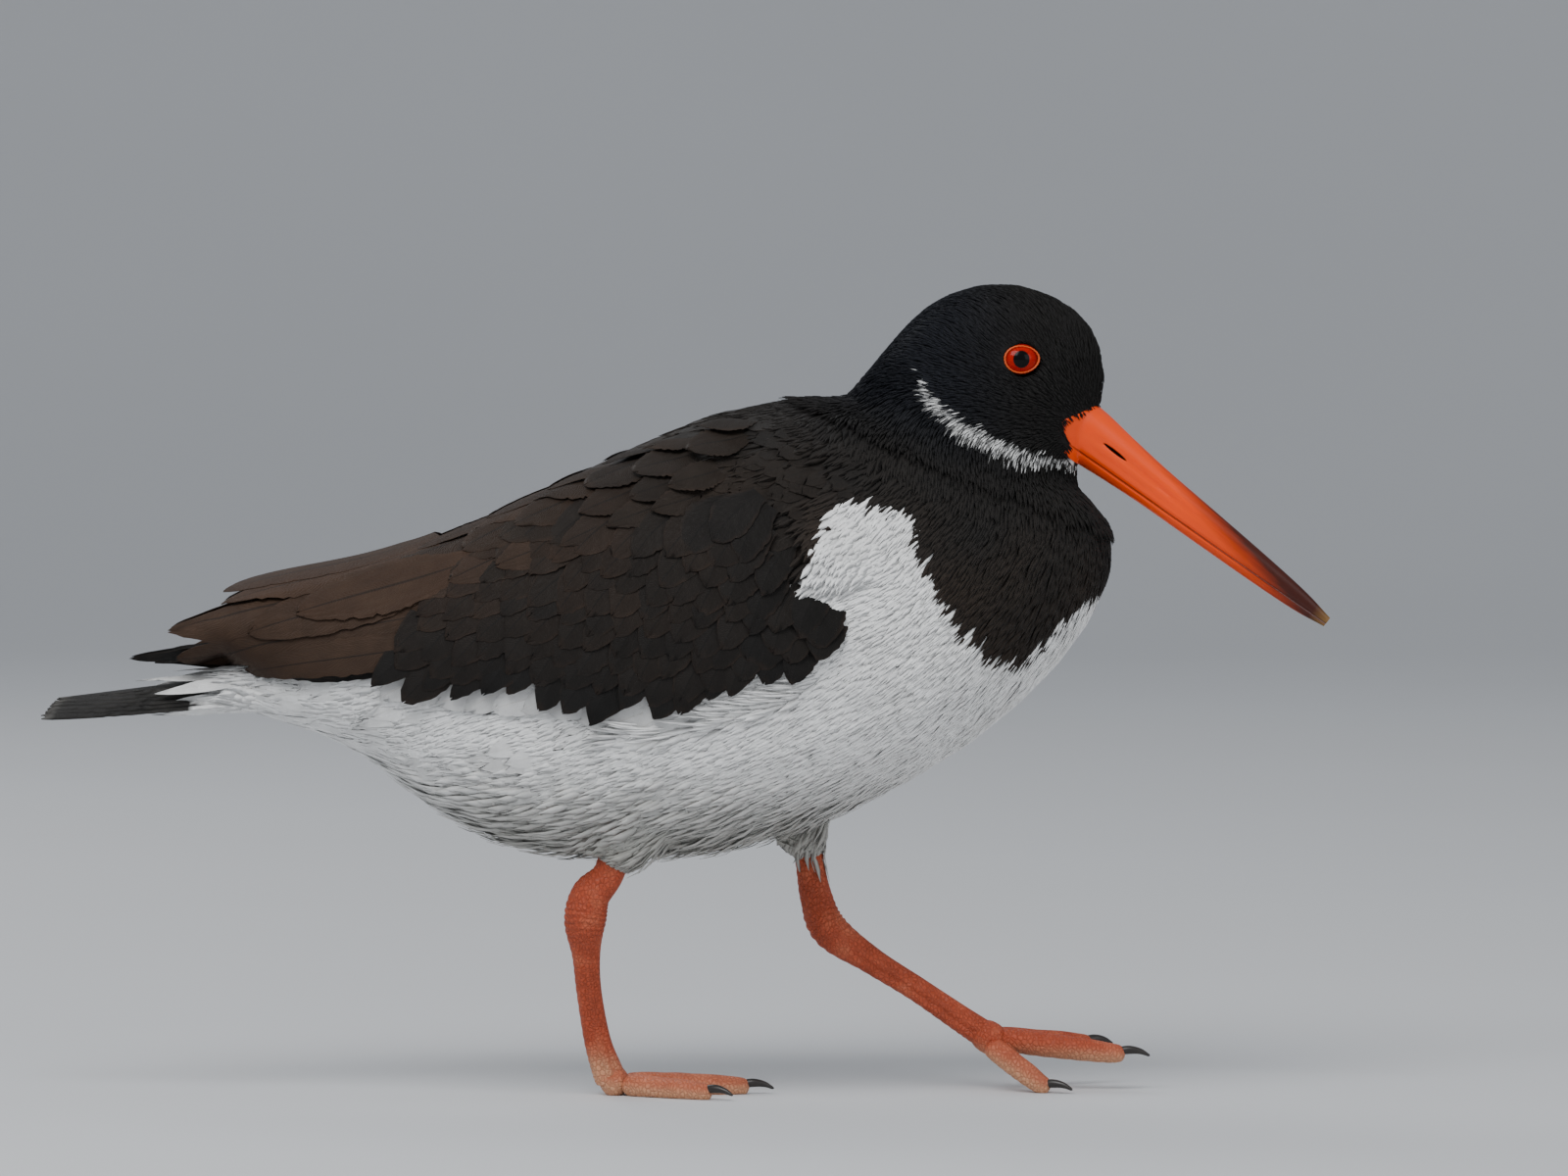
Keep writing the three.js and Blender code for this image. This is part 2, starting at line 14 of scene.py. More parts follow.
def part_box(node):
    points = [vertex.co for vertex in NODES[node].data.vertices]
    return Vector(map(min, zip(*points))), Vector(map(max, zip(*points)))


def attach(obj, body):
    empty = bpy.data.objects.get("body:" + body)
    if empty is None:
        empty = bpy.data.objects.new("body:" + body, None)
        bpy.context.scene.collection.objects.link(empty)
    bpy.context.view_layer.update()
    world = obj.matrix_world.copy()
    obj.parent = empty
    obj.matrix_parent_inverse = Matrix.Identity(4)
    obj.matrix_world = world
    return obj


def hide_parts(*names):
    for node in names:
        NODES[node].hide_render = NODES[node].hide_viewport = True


bl_info = {
    "name": "Oystercatcher",
    "version": (1, 0, 0),
    "blender": (4, 5, 0),
    "location": "View3D > Sidebar > Oystercatcher",
    "description": "Skin, plumage, bill, eyes and legs of a life-size oystercatcher",
    "category": "Object",
}

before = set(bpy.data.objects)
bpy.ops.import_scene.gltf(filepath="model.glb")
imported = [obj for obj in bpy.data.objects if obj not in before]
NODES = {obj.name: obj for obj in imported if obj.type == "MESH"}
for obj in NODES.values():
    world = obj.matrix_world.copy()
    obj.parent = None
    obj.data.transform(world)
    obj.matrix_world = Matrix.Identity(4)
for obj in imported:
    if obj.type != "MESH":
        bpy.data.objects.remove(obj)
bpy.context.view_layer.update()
MM = 0.001
# The middle and width of what the camera sees, in millimetres
VIEW_CENTRE, VIEW_WIDTH = Vector((44.7, 0, 134.7)), 416
SIDES = {"right": -1, "left": 1}
FLESH = ("torso", "neck", "head", "rump", "thigh_right", "thigh_left")
TOES = ("inner", "middle", "outer")


# Curves and small sums


def smooth(pairs):
    """A smooth curve through (at, value) pairs that reads whole arrays."""
    at, value = np.array(pairs, float).T
    before = np.maximum(np.arange(len(at)) - 1, 0)
    after = np.minimum(np.arange(len(at)) + 1, len(at) - 1)
    slope = (value[after] - value[before]) / (at[after] - at[before])

    def read(x):
        x = np.clip(x, at[0], at[-1])
        i = np.clip(np.searchsorted(at, x) - 1, 0, len(at) - 2)
        span = at[i + 1] - at[i]
        t = (x - at[i]) / span
        lift = slope[i] * span * t * (1 - t) ** 2 - slope[i + 1] * span * t * t * (1 - t)
        return value[i] + (value[i + 1] - value[i]) * t * t * (3 - 2 * t) + lift

    return read


def ramp(low, high, x):
    """0 below low, 1 above high, and an even turn between."""
    t = np.clip((x - low) / (high - low), 0, 1)
    return t * t * (3 - 2 * t)


def mix(a, b, share):
    """a where the share is 0, and b where it is 1."""
    return a + (b - a) * share


def hump(x, middle, width):
    """1 at the middle, and falling off on both sides."""
    return math.exp(-(((x - middle) / width) ** 2))


def unit(vectors):
    """Arrows of length 1."""
    return vectors / np.maximum(np.linalg.norm(vectors, axis=-1, keepdims=True), 1e-9)


def rough(points, scale, seed=0.0):
    """Smooth noise from -1 to 1 at each point, for patches about scale across."""
    shift = Vector((seed, seed * 1.7, -seed))
    return np.array([noise.noise(Vector(p) / scale + shift) for p in points.tolist()])


# The bird's outlines in millimetres, all over x: the body, the folded wings' hull and the wings' lower edge
BACK_LINE = smooth([
    (-101, 112.5), (-85, 121), (-67, 132), (-33, 152.5), (3, 171.5), (29, 182), (45, 185), (63, 185),
    (84, 179), (99, 174), (112, 168.5), (121, 163), (128, 155.5), (131.5, 149),
])
BELLY_LINE = smooth([
    (-101, 103.3), (-85, 98.3), (-67, 91.3), (-45, 75), (-25, 66.3), (3, 62.2), (45, 69.6), (84, 86.5),
    (99, 97), (112, 108.6), (121, 118.8), (128, 130), (131.5, 139),
])
BODY_WIDTH = smooth([
    (-101, 9), (-85, 19), (-67, 27), (-33, 39), (3, 45.5), (24, 47), (63, 45), (84, 41.5),
    (99, 37), (112, 31), (121, 24.5), (128, 16), (131.5, 7),
])
HULL_TOP = smooth([
    (-132, 119.5), (-119, 125.5), (-98, 133), (-64, 142.5), (-33, 155), (-5, 169), (20, 177),
])
HULL_WIDTH = smooth([(-132, 5.5), (-119, 9.5), (-98, 19), (-64, 31), (-33, 41), (-5, 46), (20, 48)])
WING_EDGE = smooth([
    (-72, 111.2), (-56, 109), (-42, 106.8), (-28, 107.2), (-15, 105), (-2, 102.8), (11, 101.8),
    (24, 105), (37, 108.5), (50, 113), (63, 122),
])
# The level of the hull's sharp lower side at the wings' tips, and how far below the top its sides turn in
KEEL_LEVEL, RIDGE_FLAT = 113.0, 4.0
# Feathers past these ends of the skin hang free, behind the rump and down along the left leg
RUMP_END, LEFT_THIGH_END = -93.0, 62.0
LEFT_LEG_DOWN = np.array((0.18, -0.05, -1.0))
# The slanting line where the neck leaves the shoulders: a place on it in x and z, and its slant
NECK_LINE, NECK_SLANT = (96.0, 165.4), math.radians(22)
# How much the feathers' lie droops on the flank, rises at the wing, hangs at the shoulder, and swirls
DROOP, RISE, HANG, SWIRL = 0.28, 0.6, 0.8, 0.22
# How far feathers are shaded with the roundness of what they lie on, small ones and large vanes
SOFTNESS = 0.86
VANE_SOFTNESS = 0.88
# Size of one tuft's patch on the coat's unwrap
BAKE_PATCH = 0.003
# How deep under the skin a feather's root lies
ROOT_LIFT = -0.5
# The middle of the bird from tail to crown, which the feathers lie along
SPINE = np.array([
    (-115, 0, 108), (-60, 0, 112), (-20, 0, 116), (20, 0, 122), (55, 0, 130), (80, 0, 143),
    (94, 0, 158), (99, 0, 176), (102, 0, 195), (103, 0, 214),
], float)
BILL_ROOT = np.array((126.0, 0.0, 177.0))
# Each eye's centre, mirrored on the left, its half sizes and how far it is turned forwards
EYE = Vector((106.9, 13.7, 195.8))
EYE_LONG, EYE_DEEP, EYE_HIGH = 5.2, 4.1, 4.15
EYE_TILT = math.radians(11)
# Half sizes of the oval round the eye that stays free of feathers
EYE_CLEAR = (4.85, 3.95)
# Where the feathered thighs leave the belly, from above, and how far round that they reach
THIGHS, THIGH_REACH = ((1.5, -19.0), (50.0, 19.3)), 12.0
# Lower edge of the black breast, and of the black back over the white shoulder, in the side view
BREAST_EDGE = smooth([
    (76.5, 157), (79.5, 153), (82.5, 142.5), (88.5, 130), (95.2, 121), (103, 116.2), (109.5, 117.5),
    (118, 127.5), (130, 134),
])
SHOULDER_EDGE = smooth([
    (-64, 138), (-50, 135), (0, 138), (44, 136), (51, 140.5), (55, 151.5), (61, 159.5), (66, 159),
    (72, 157.5), (80, 156.5),
])
COLLAR = smooth([(79, 190.5), (83.7, 184), (92.8, 176.5), (104.5, 170.8), (114, 168.4), (122, 167.6)])


def wing_surface(x, z, lift, side):
    """Places on the folded wings' hull for a side view's x and z, lifted off it, in millimetres."""
    on_body = ramp(-30, 10, x)
    top = mix(HULL_TOP(x), BACK_LINE(x) + 1, on_body)
    width = mix(HULL_WIDTH(x), BODY_WIDTH(x) + 1, on_body)
    keel = 2 * KEEL_LEVEL - HULL_TOP(x) + 0.55 * np.maximum(0, -60 - x)
    bottom = mix(keel, BELLY_LINE(x), on_body)
    middle = (top + np.minimum(bottom, top - 12)) / 2
    half = top - middle
    ridge = top - RIDGE_FLAT
    over = np.maximum(0, z - ridge)
    share = np.minimum(0.995, np.abs(np.minimum(z, ridge) - middle) / half)
    at_ridge = width * (1 - share**2.2) ** (1 / 2.2)
    y = np.maximum(0.4, at_ridge - over)
    height = np.minimum(z, ridge) + RIDGE_FLAT * (1 - y / at_ridge)
    normal = unit(np.stack([
        np.zeros_like(y),
        (side / width) * (y / width) ** 1.2,
        np.sign(height - middle) / half * share**1.2,
    ], axis=-1))
    return np.stack([x, side * y, height], axis=-1) + normal * lift[..., None]


# The bill's own measures in millimetres: s runs along it from its base
BILL_AT, BILL_SLOPE, BILL_LENGTH, GAPE_DROP = (125.3, 175.2), math.radians(-38), 80.5, 5.0
BILL_HEIGHT = smooth([
    (-14, 16), (0, 15.6), (10, 13.6), (22, 11.6), (40, 9.8), (60, 7.6), (72, 5.6), (80.5, 2.8),
])
# The share of the bill's rings that lie inside the face
BILL_SUNK = 0.03
# Each nostril's middle along and above the bill's middle line, and half sizes of its cut and of the painted
# shade in its hollow
NOSTRIL, NOSTRIL_CUT, NOSTRIL_SHADE = (8.2, 1.0), (3.9, 0.45), (4.0, 0.46)
# Where bare horn gives way to feathers, along the bill over the height above its middle line
BILL_ROOT_EDGE = smooth([(-8.3, 1.5), (-7.7, -2.0), (-5.1, -2.2), (-1.8, -7.4), (3, -5.4), (8.7, -1.2)])
BILL_WIDTH = smooth([(-14, 14), (0, 12), (10, 9.4), (22, 7.6), (40, 6), (60, 4.4), (72, 3.1), (80.5, 1.7)])


def bill_point(s, up, y=0.0):
    return Vector((
        BILL_AT[0] + s * math.cos(BILL_SLOPE) - up * math.sin(BILL_SLOPE),
        y,
        BILL_AT[1] + s * math.sin(BILL_SLOPE) + up * math.cos(BILL_SLOPE),
    ))


def bill_measures(points):
    """How far along the bill and above its middle line each point lies."""
    x, z = points[:, 0] - BILL_AT[0], points[:, 2] - BILL_AT[1]
    cos, sin = math.cos(BILL_SLOPE), math.sin(BILL_SLOPE)
    return x * cos + z * sin, z * cos - x * sin


# Plumage colours and how they lie on the bird


def above_neck(p):
    """Height in millimetres over the line where the neck leaves the shoulders."""
    x, z = NECK_LINE
    return (p[:, 2] - z) * math.cos(NECK_SLANT) + (p[:, 0] - x) * math.sin(NECK_SLANT)


def tones(*names):
    """Colours of the settings as arrays."""
    given = bpy.context.scene.oystercatcher_colours
    return [np.array(getattr(given, name)[:3]) for name in names]


def coat_colour(points, random):
    """The plumage's colour at each place, in millimetres, the same for skin and feathers."""
    black, brown, white, grey, blue = tones("black", "brown", "white", "shaded_white", "blue_black")
    wave = rough(points, 9.0, 3.0)
    x, z = points[:, 0] + 1.3 * random[:, 0], points[:, 2] + 1.6 * random[:, 1] + 0.8 * wave
    high = above_neck(points)
    breast = (x > 77.5) & (z > BREAST_EDGE(x))
    back = (x <= 78.5) & (z > SHOULDER_EDGE(x)) & (x > -66)
    dark = breast | back | (high > 0)
    on_collar = np.abs(z - COLLAR(x)) * 0.8 < mix(1.9, 0.9, ramp(100, 116, x)) + 0.45 * wave
    collar = on_collar & (points[:, 0] > 80.5 + random[:, 1]) & (high > 2) & (points[:, 0] < 122)
    bluish = ramp(-6, 14, high) * ramp(112, 84, points[:, 0])
    dusky = ramp(8, -30, high) * (0.45 + 0.45 * rough(points, 16.0, 8.0))
    shade = mix(black, blue, 0.7 * bluish[:, None])
    shade = mix(shade, 1.3 * brown, np.clip(dusky, 0, 0.8)[:, None])
    # Towards the bottom the white turns grey: painted shade under the body, with some soiling, and patches
    # at random
    low = ramp(98, 64, points[:, 2]) * 0.9 + 0.3 * np.clip(rough(points, 13.0, 5.0), 0, 1)
    pale = mix(white, grey, np.clip(low, 0, 1)[:, None])
    out = np.where(dark[:, None], shade, pale)
    streaked = np.where((random[:, 0] > 0.35)[:, None], mix(black, white, 0.2), white * 0.85)
    out = np.where(collar[:, None], streaked, out)
    return out * (1 + 0.07 * random[:, :1])


def spine_frame(points):
    """How far along the bird's middle line each point lies, its place round it, and the line's direction."""
    legs = SPINE[1:] - SPINE[:-1]
    lengths = np.linalg.norm(legs, axis=1)
    best = np.full(len(points), 1e9)
    along, around, heading = np.zeros(len(points)), np.zeros(len(points)), np.zeros((len(points), 3))
    start = 0.0
    for i, (leg, length) in enumerate(zip(legs, lengths)):
        t = np.clip((points - SPINE[i]) @ leg / length**2, 0, 1)
        off = points - (SPINE[i] + t[:, None] * leg)
        distance = np.linalg.norm(off, axis=1)
        nearer = distance < best
        best = np.where(nearer, distance, best)
        up = np.cross(leg / length, (0, -1, 0))
        along = np.where(nearer, start + t * length, along)
        around = np.where(nearer, np.arctan2(points[:, 1], off @ up), around)
        following = SPINE[min(i + 2, len(SPINE) - 1)] - SPINE[min(i + 1, len(SPINE) - 2)]
        turned = mix(unit(leg), unit(following), (t * t * 0.5)[:, None])
        heading = np.where(nearer[:, None], turned, heading)
        start += length
    return along / lengths.sum(), around / (2 * math.pi) + 0.5, unit(heading)


def lie_of_coat(points, normals):
    """The way the feathers point at each place: back from the bill over the head, then along the body."""
    away = unit(points - BILL_ROOT)
    heading = spine_frame(points)[2]
    on_head = ramp(4, 18, above_neck(points))[:, None]
    lie = mix(-heading, away, on_head)
    flank = ramp(150, 100, points[:, 2]) * ramp(-90, -40, points[:, 0])
    lie[:, 2] -= DROOP * flank
    thigh = on_thigh(points)[:, None]
    lie = mix(lie, np.array((-0.1, 0.0, -1.0)), thigh)
    lie[:, 2] += RISE * wing_fringe(points) - HANG * wedge_fringe(points)
    swirl = SWIRL * rough(points, 11.0, 21.0)
    lie = lie + swirl[:, None] * np.cross(normals, lie)
    flat = ramp(-97, -88, points[:, 0])[:, None]
    return unit(lie - flat * normals * np.sum(lie * normals, axis=1, keepdims=True))


def on_thigh(points):
    """1 on the feathered legs below the belly."""
    found = np.zeros(len(points))
    for x, y in THIGHS:
        near = np.hypot(points[:, 0] - x, points[:, 1] - y) < THIGH_REACH
        found = np.maximum(found, near * ramp(68, 63, points[:, 2] - 0.19 * max(0, x - 20)))
    return found


def past_thigh(points):
    """True below the end of the left thigh's skin, where its feathers hang over the bare leg."""
    near = np.hypot(points[:, 0] - 51, points[:, 1] - 19) < 9
    return near & (points[:, 2] < LEFT_THIGH_END)


def wing_fringe(points):
    """1 along the flank just under the folded wing's front half, whose strands reach up over the wing."""
    x, z = points[:, 0], points[:, 2]
    below = WING_EDGE(x) - z
    return ramp(0, 1, below) * ramp(6, 4, below) * ramp(0, 8, x) * ramp(58, 52, x)


# Joined pieces made from many copies of one small shape


class Shape:
    """A small closed shape in its own measures: r along it, c across it, f through it."""

    def __init__(self, bm, r, c, f):
        bmesh.ops.triangulate(bm, faces=bm.faces)
        bmesh.ops.recalc_face_normals(bm, faces=bm.faces)
        verts = np.array([v.co for v in bm.verts])
        self.r, self.c, self.f = r(verts), c(verts), f(verts)
        self.faces = np.array([[v.index for v in face.verts] for face in bm.faces])
        self.stations = len(set(np.round(self.r, 4)))
        self.ring = np.round(self.r * (self.stations - 1)).astype(int)
        self.vane = np.stack([(self.c + 1) / 2, self.r], axis=1)
        self.on_edge = np.abs(self.c) > 0.99
        bm.free()


def tuft_shape(cuts):
    """A lock with a flat underside and a ridge on top."""
    bm = bmesh.new()
    bmesh.ops.create_cone(bm, cap_ends=True, segments=3, radius1=1, radius2=1, depth=1)
    long = [e for e in bm.edges if abs(e.verts[0].co.z - e.verts[1].co.z) > 0.5]
    bmesh.ops.subdivide_edges(bm, edges=long, cuts=cuts, use_grid_fill=True)
    bm.verts.index_update()
    return Shape(bm, lambda v: v[:, 2] + 0.5, lambda v: v[:, 0] / 0.866, lambda v: (v[:, 1] + 0.5) / 1.5)


def vane_shape(rows, columns):
    """A flat feather's vane with two faces and a rim."""
    bm = bmesh.new()
    bmesh.ops.create_grid(bm, x_segments=columns, y_segments=rows, size=1)
    bmesh.ops.solidify(bm, geom=bm.verts[:] + bm.edges[:] + bm.faces[:], thickness=1)
    bm.verts.index_update()
    deep = np.array([v.co.z for v in bm.verts])
    low, high = deep.min(), deep.max()
    return Shape(
        bm, lambda v: (v[:, 1] + 1) / 2, lambda v: v[:, 0], lambda v: (v[:, 2] - low) / (high - low) - 0.5
    )


def read_vectors(items, name):
    """A mesh's coordinates or normals as rows."""
    values = np.zeros(len(items) * 3, np.float32)
    items.foreach_get(name, values)
    return values.reshape(-1, 3)


def joined(name, shape, places, colours, bake_uv, vane_uv=None, soft=None, softness=SOFTNESS):
    """One mesh object from many placed copies of a shape. places is copies by vertices by 3, in metres."""
    copies, count = places.shape[:2]
    faces = shape.faces
    a, b, c = (places[:, faces[:, k]] - places[:, :1] for k in range(3))
    if np.sum(a * np.cross(b, c)) < 0:
        faces = faces[:, ::-1]
    mesh = bpy.data.meshes.new(name)
    mesh.vertices.add(copies * count)
    mesh.vertices.foreach_set("co", places.astype(np.float32).ravel())
    corners = (faces[None] + (np.arange(copies) * count)[:, None, None]).ravel()
    mesh.loops.add(len(corners))
    mesh.loops.foreach_set("vertex_index", corners.astype(np.int32))
    mesh.polygons.add(len(corners) // 3)
    mesh.polygons.foreach_set("loop_start", np.arange(0, len(corners), 3, dtype=np.int32))
    mesh.polygons.foreach_set("use_smooth", np.ones(len(corners) // 3, bool))
    mesh.update(calc_edges=True)
    for label, uv in (("OFBake", bake_uv), ("Vane", vane_uv)):
        if uv is not None:
            layer = mesh.uv_layers.new(name=label)
            layer.data.foreach_set("uv", uv.reshape(-1, 2)[corners].astype(np.float32).ravel())
    tint = mesh.color_attributes.new("plumage", "FLOAT_COLOR", "POINT")
    rgba = np.ones((copies, count, 4), np.float32)
    rgba[..., :3] = np.clip(colours, 0, 1)
    tint.data.foreach_set("color", rgba.ravel())
    if soft is not None:
        own = read_vectors(mesh.vertex_normals, "vector")
        share = softness * ramp(0.0, 0.4, np.sum(own * soft, axis=1, keepdims=True))
        mesh.normals_split_custom_set_from_vertices(unit(mix(own, soft, share)).tolist())
    obj = bpy.data.objects.new(name, mesh)
    bpy.context.scene.collection.objects.link(obj)
    return obj


def finish_piece(obj, material, slot, *nodes):
    """Gives a piece its material and its place on the frame."""
    obj.data.materials.clear()
    obj.data.materials.append(material)
    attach(obj, "root")
    if nodes:
        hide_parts(*nodes)
    return obj


class Skin:
    """The finished skin read back: where feathers can root, and its nearest places."""

    def __init__(self):
        obj = bpy.data.objects.get("skin")
        if obj is None:
            raise RuntimeError("the skin is made before the feathers")
        mesh = obj.data
        self.co = read_vectors(mesh.vertices, "co").astype(float) / MM
        mesh.calc_loop_triangles()
        corners = np.zeros(len(mesh.loop_triangles) * 3, np.int32)
        mesh.loop_triangles.foreach_get("vertices", corners)
        self.faces = corners.reshape(-1, 3)
        self.corners = a, b, c = [self.co[self.faces[:, k]] for k in range(3)]
        cross = np.cross(b - a, c - a)
        self.area = np.linalg.norm(cross, axis=1) / 2
        self.normals = unit(cross)
        self.tree = BVHTree.FromPolygons(self.co.tolist(), self.faces.tolist())

    def roots(self, per_area, seed):
        """Places spread over the skin, per_area(points) to each square millimetre, with their normals."""
        rng = np.random.default_rng(seed)
        a, b, c = self.corners
        wanted = self.area * per_area((a + b + c) / 3)
        counts = np.floor(wanted + rng.random(len(wanted))).astype(int)
        face = np.repeat(np.arange(len(counts)), counts)
        u, v = rng.random(len(face)), rng.random(len(face))
        flip = u + v > 1
        u, v = np.where(flip, 1 - u, u)[:, None], np.where(flip, 1 - v, v)[:, None]
        points = a[face] + u * (b - a)[face] + v * (c - a)[face]
        return points, self.normals[face], rng.uniform(-1, 1, (len(face), 4))

    def follow(self, points, normals, lie, length, stations):
        """Paths over the skin from each point, as places, normals and headings at each station."""
        path, outward, heading = [points], [normals], [lie]
        step = (length / (stations - 1))[:, None]
        for _ in range(stations - 1):
            ahead = path[-1] + heading[-1] * step
            found = [self.tree.find_nearest(p) for p in ahead.tolist()]
            place, normal = (np.array([f[k] for f in found]) for k in (0, 1))
            hanging = past_thigh(ahead)[:, None]
            free = (ahead[:, 0] < RUMP_END)[:, None] | hanging
            place, normal = np.where(free, ahead, place), np.where(free, outward[-1], normal)
            turned = heading[-1] - normal * np.sum(heading[-1] * normal, axis=1, keepdims=True)
            turned = np.where(free, heading[-1], turned)
            turned = np.where(hanging, LEFT_LEG_DOWN, turned)
            path.append(place)
            outward.append(unit(0.5 * outward[-1] + 0.5 * normal))
            heading.append(unit(turned))
        return (np.stack(s, axis=1) for s in (path, outward, heading))


@lru_cache(maxsize=1)
def skin_surface():
    """The skin that was made last, read once."""
    return Skin()


def grow(name, density, seed, shape, size, material, slot, fray=0.0, lie_of=lie_of_coat):
    """Feathers or tufts on the skin. size(points, random) gives length, width, thickness, lift and taper."""
    skin, sizes = skin_surface(), bpy.context.scene.oystercatcher_sizes
    points, normals, random = skin.roots(lambda p: density(p) * sizes.density, sizes.seed + seed)
    length, width, thick, lift, taper = (np.broadcast_to(v, len(points)) for v in size(points, random))
    lie = lie_of(points, normals)
    path, outward, heading = skin.follow(points, normals, lie, length, shape.stations)
    sideways = np.cross(heading, outward)
    ring, r = shape.ring, shape.r
    across = shape.c * vane_width(r, taper[:, None]) * width[:, None] / 2
    rise = mix(ROOT_LIFT, lift[:, None], 1 - (1 - r[None]) ** 2.2) + shape.f * thick[:, None] * (1 - 0.6 * r)
    rise = rise - across**2 / 60
    places = path[:, ring] + sideways[:, ring] * across[..., None] + outward[:, ring] * rise[..., None]
    if fray:
        pull = frayed(shape, len(points), fray) * length[:, None]
        places -= heading[:, ring] * pull[..., None]
    shown = points + lie * 0.6 * length[:, None]
    # Each tuft is painted darker towards its root: painted shade where it lies under the tufts over it
    colours = coat_colour(shown, random)[:, None, :] * (0.94 + 0.1 * r)[None, :, None]
    along, around, _ = spine_frame(points)
    home = np.stack([mix(0.02, 0.975, along), mix(0.02, 0.975, around)], axis=1)
    patch = np.stack([shape.c / 2 + 0.5, r], axis=1) * BAKE_PATCH
    uv = home[:, None] + patch[None]
    vane_uv = np.broadcast_to(shape.vane, (len(points), *shape.vane.shape))
    soft = outward[:, ring].reshape(-1, 3)
    softness = VANE_SOFTNESS if fray else SOFTNESS
    obj = joined(name, shape, places * MM, colours, uv, vane_uv, soft, softness)
    return finish_piece(obj, material, slot)


def frayed(shape, copies, amount):
    """How far each column of a feather's tip is pulled back, as a share of the length."""
    column = np.round((shape.c + 1) * 100).astype(int)
    _, column = np.unique(column, return_inverse=True)
    rng = np.random.default_rng(copies)
    back = rng.random((copies, column.max() + 1)) ** 1.5
    return amount * back[:, column] * ramp(0.5, 1.0, shape.r)


def ragged(shape, rng, copies, amount):
    """Each feather's half width at its edges, worn by up to an amount."""
    worn = 1 - amount * rng.random((copies, shape.stations)) ** 2
    return np.where(shape.on_edge, worn[:, shape.ring], 1.0)


def vane_maps(shape, copies):
    """Large feathers' unwrap, a cell each with both faces side by side, and their own measures."""
    cells = math.ceil(math.sqrt(copies))
    order = np.arange(copies)
    corner = np.stack([order % cells, order // cells], axis=1) / cells
    half = np.where(shape.f > 0, 0.0, 0.5)
    spot = np.stack([0.01 + half + 0.48 * (shape.c + 1) / 2, 0.01 + 0.98 * shape.r], axis=1) / cells
    return corner[:, None] + spot[None], np.broadcast_to(shape.vane, (copies, *shape.vane.shape))


def vane_width(r, tip):
    """A feather's width along it, to a tip that is round where tip is 1 and drawn out where it is 0."""
    body = 0.45 + 0.55 * ramp(0, 0.45, r)
    end = np.clip((r - 0.55) / 0.45, 0, 1)
    rounded = np.sqrt(np.clip(1 - end**2.6, 0.004, 1))
    pointed = 1 - 0.93 * end**1.3
    return body * mix(pointed, rounded, tip)


# Materials


def group(name, inputs, outputs):
    """A new shader group with named sockets: inputs by their defaults, outputs by their kinds."""
    tree = bpy.data.node_groups.new(name, "ShaderNodeTree")
    for label, default in inputs.items():
        kind = "Float" if isinstance(default, float) else "Vector" if len(default) == 3 else "Color"
        socket = tree.interface.new_socket(label, in_out="INPUT", socket_type=f"NodeSocket{kind}")
        socket.default_value = default
    for label, kind in outputs.items():
        tree.interface.new_socket(label, in_out="OUTPUT", socket_type=f"NodeSocket{kind}")
    return tree, tree.nodes.new("NodeGroupInput").outputs, tree.nodes.new("NodeGroupOutput").inputs


def add(tree, kind, inputs=(), **settings):
    """A node of a kind, its settings made and its inputs set or linked."""
    node = tree.nodes.new(kind)
    for key, value in settings.items():
        setattr(node, key, value)
    for key, value in dict(inputs).items():
        if isinstance(value, bpy.types.NodeSocket):
            tree.links.new(value, node.inputs[key])
        else:
            node.inputs[key].default_value = value
    return node


def reckon(tree, operation, a, b=0.0):
    """One sum on values or sockets."""
    return add(tree, "ShaderNodeMath", {0: a, 1: b}, operation=operation).outputs[0]


def times(tree, a, b):
    return reckon(tree, "MULTIPLY", a, b)


def plus(tree, a, b):
    return reckon(tree, "ADD", a, b)


def minus(tree, a, b):
    return reckon(tree, "SUBTRACT", a, b)


def fade(tree, value, low, high):
    """0 at low and 1 at high, held beyond both."""
    return add(tree, "ShaderNodeMapRange", {0: value, 1: low, 2: high}, clamp=True).outputs[0]


def stretched(tree, vector, by):
    return add(tree, "ShaderNodeVectorMath", {0: vector, 1: by}, operation="MULTIPLY").outputs[0]


def object_place(tree):
    return add(tree, "ShaderNodeTexCoord").outputs["Object"]


def carried(tree, name):
    """A piece's own attribute."""
    return add(tree, "ShaderNodeAttribute", attribute_name=name).outputs


def cloud(tree, vector, scale, detail):
    given = {"Vector": vector, "Scale": scale, "Detail": detail}
    return add(tree, "ShaderNodeTexNoise", given).outputs["Fac"]


def mix_colour(tree, share, a, b, blend="MIX"):
    return add(tree, "ShaderNodeMix", {0: share, 6: a, 7: b}, data_type="RGBA", blend_type=blend).outputs[2]


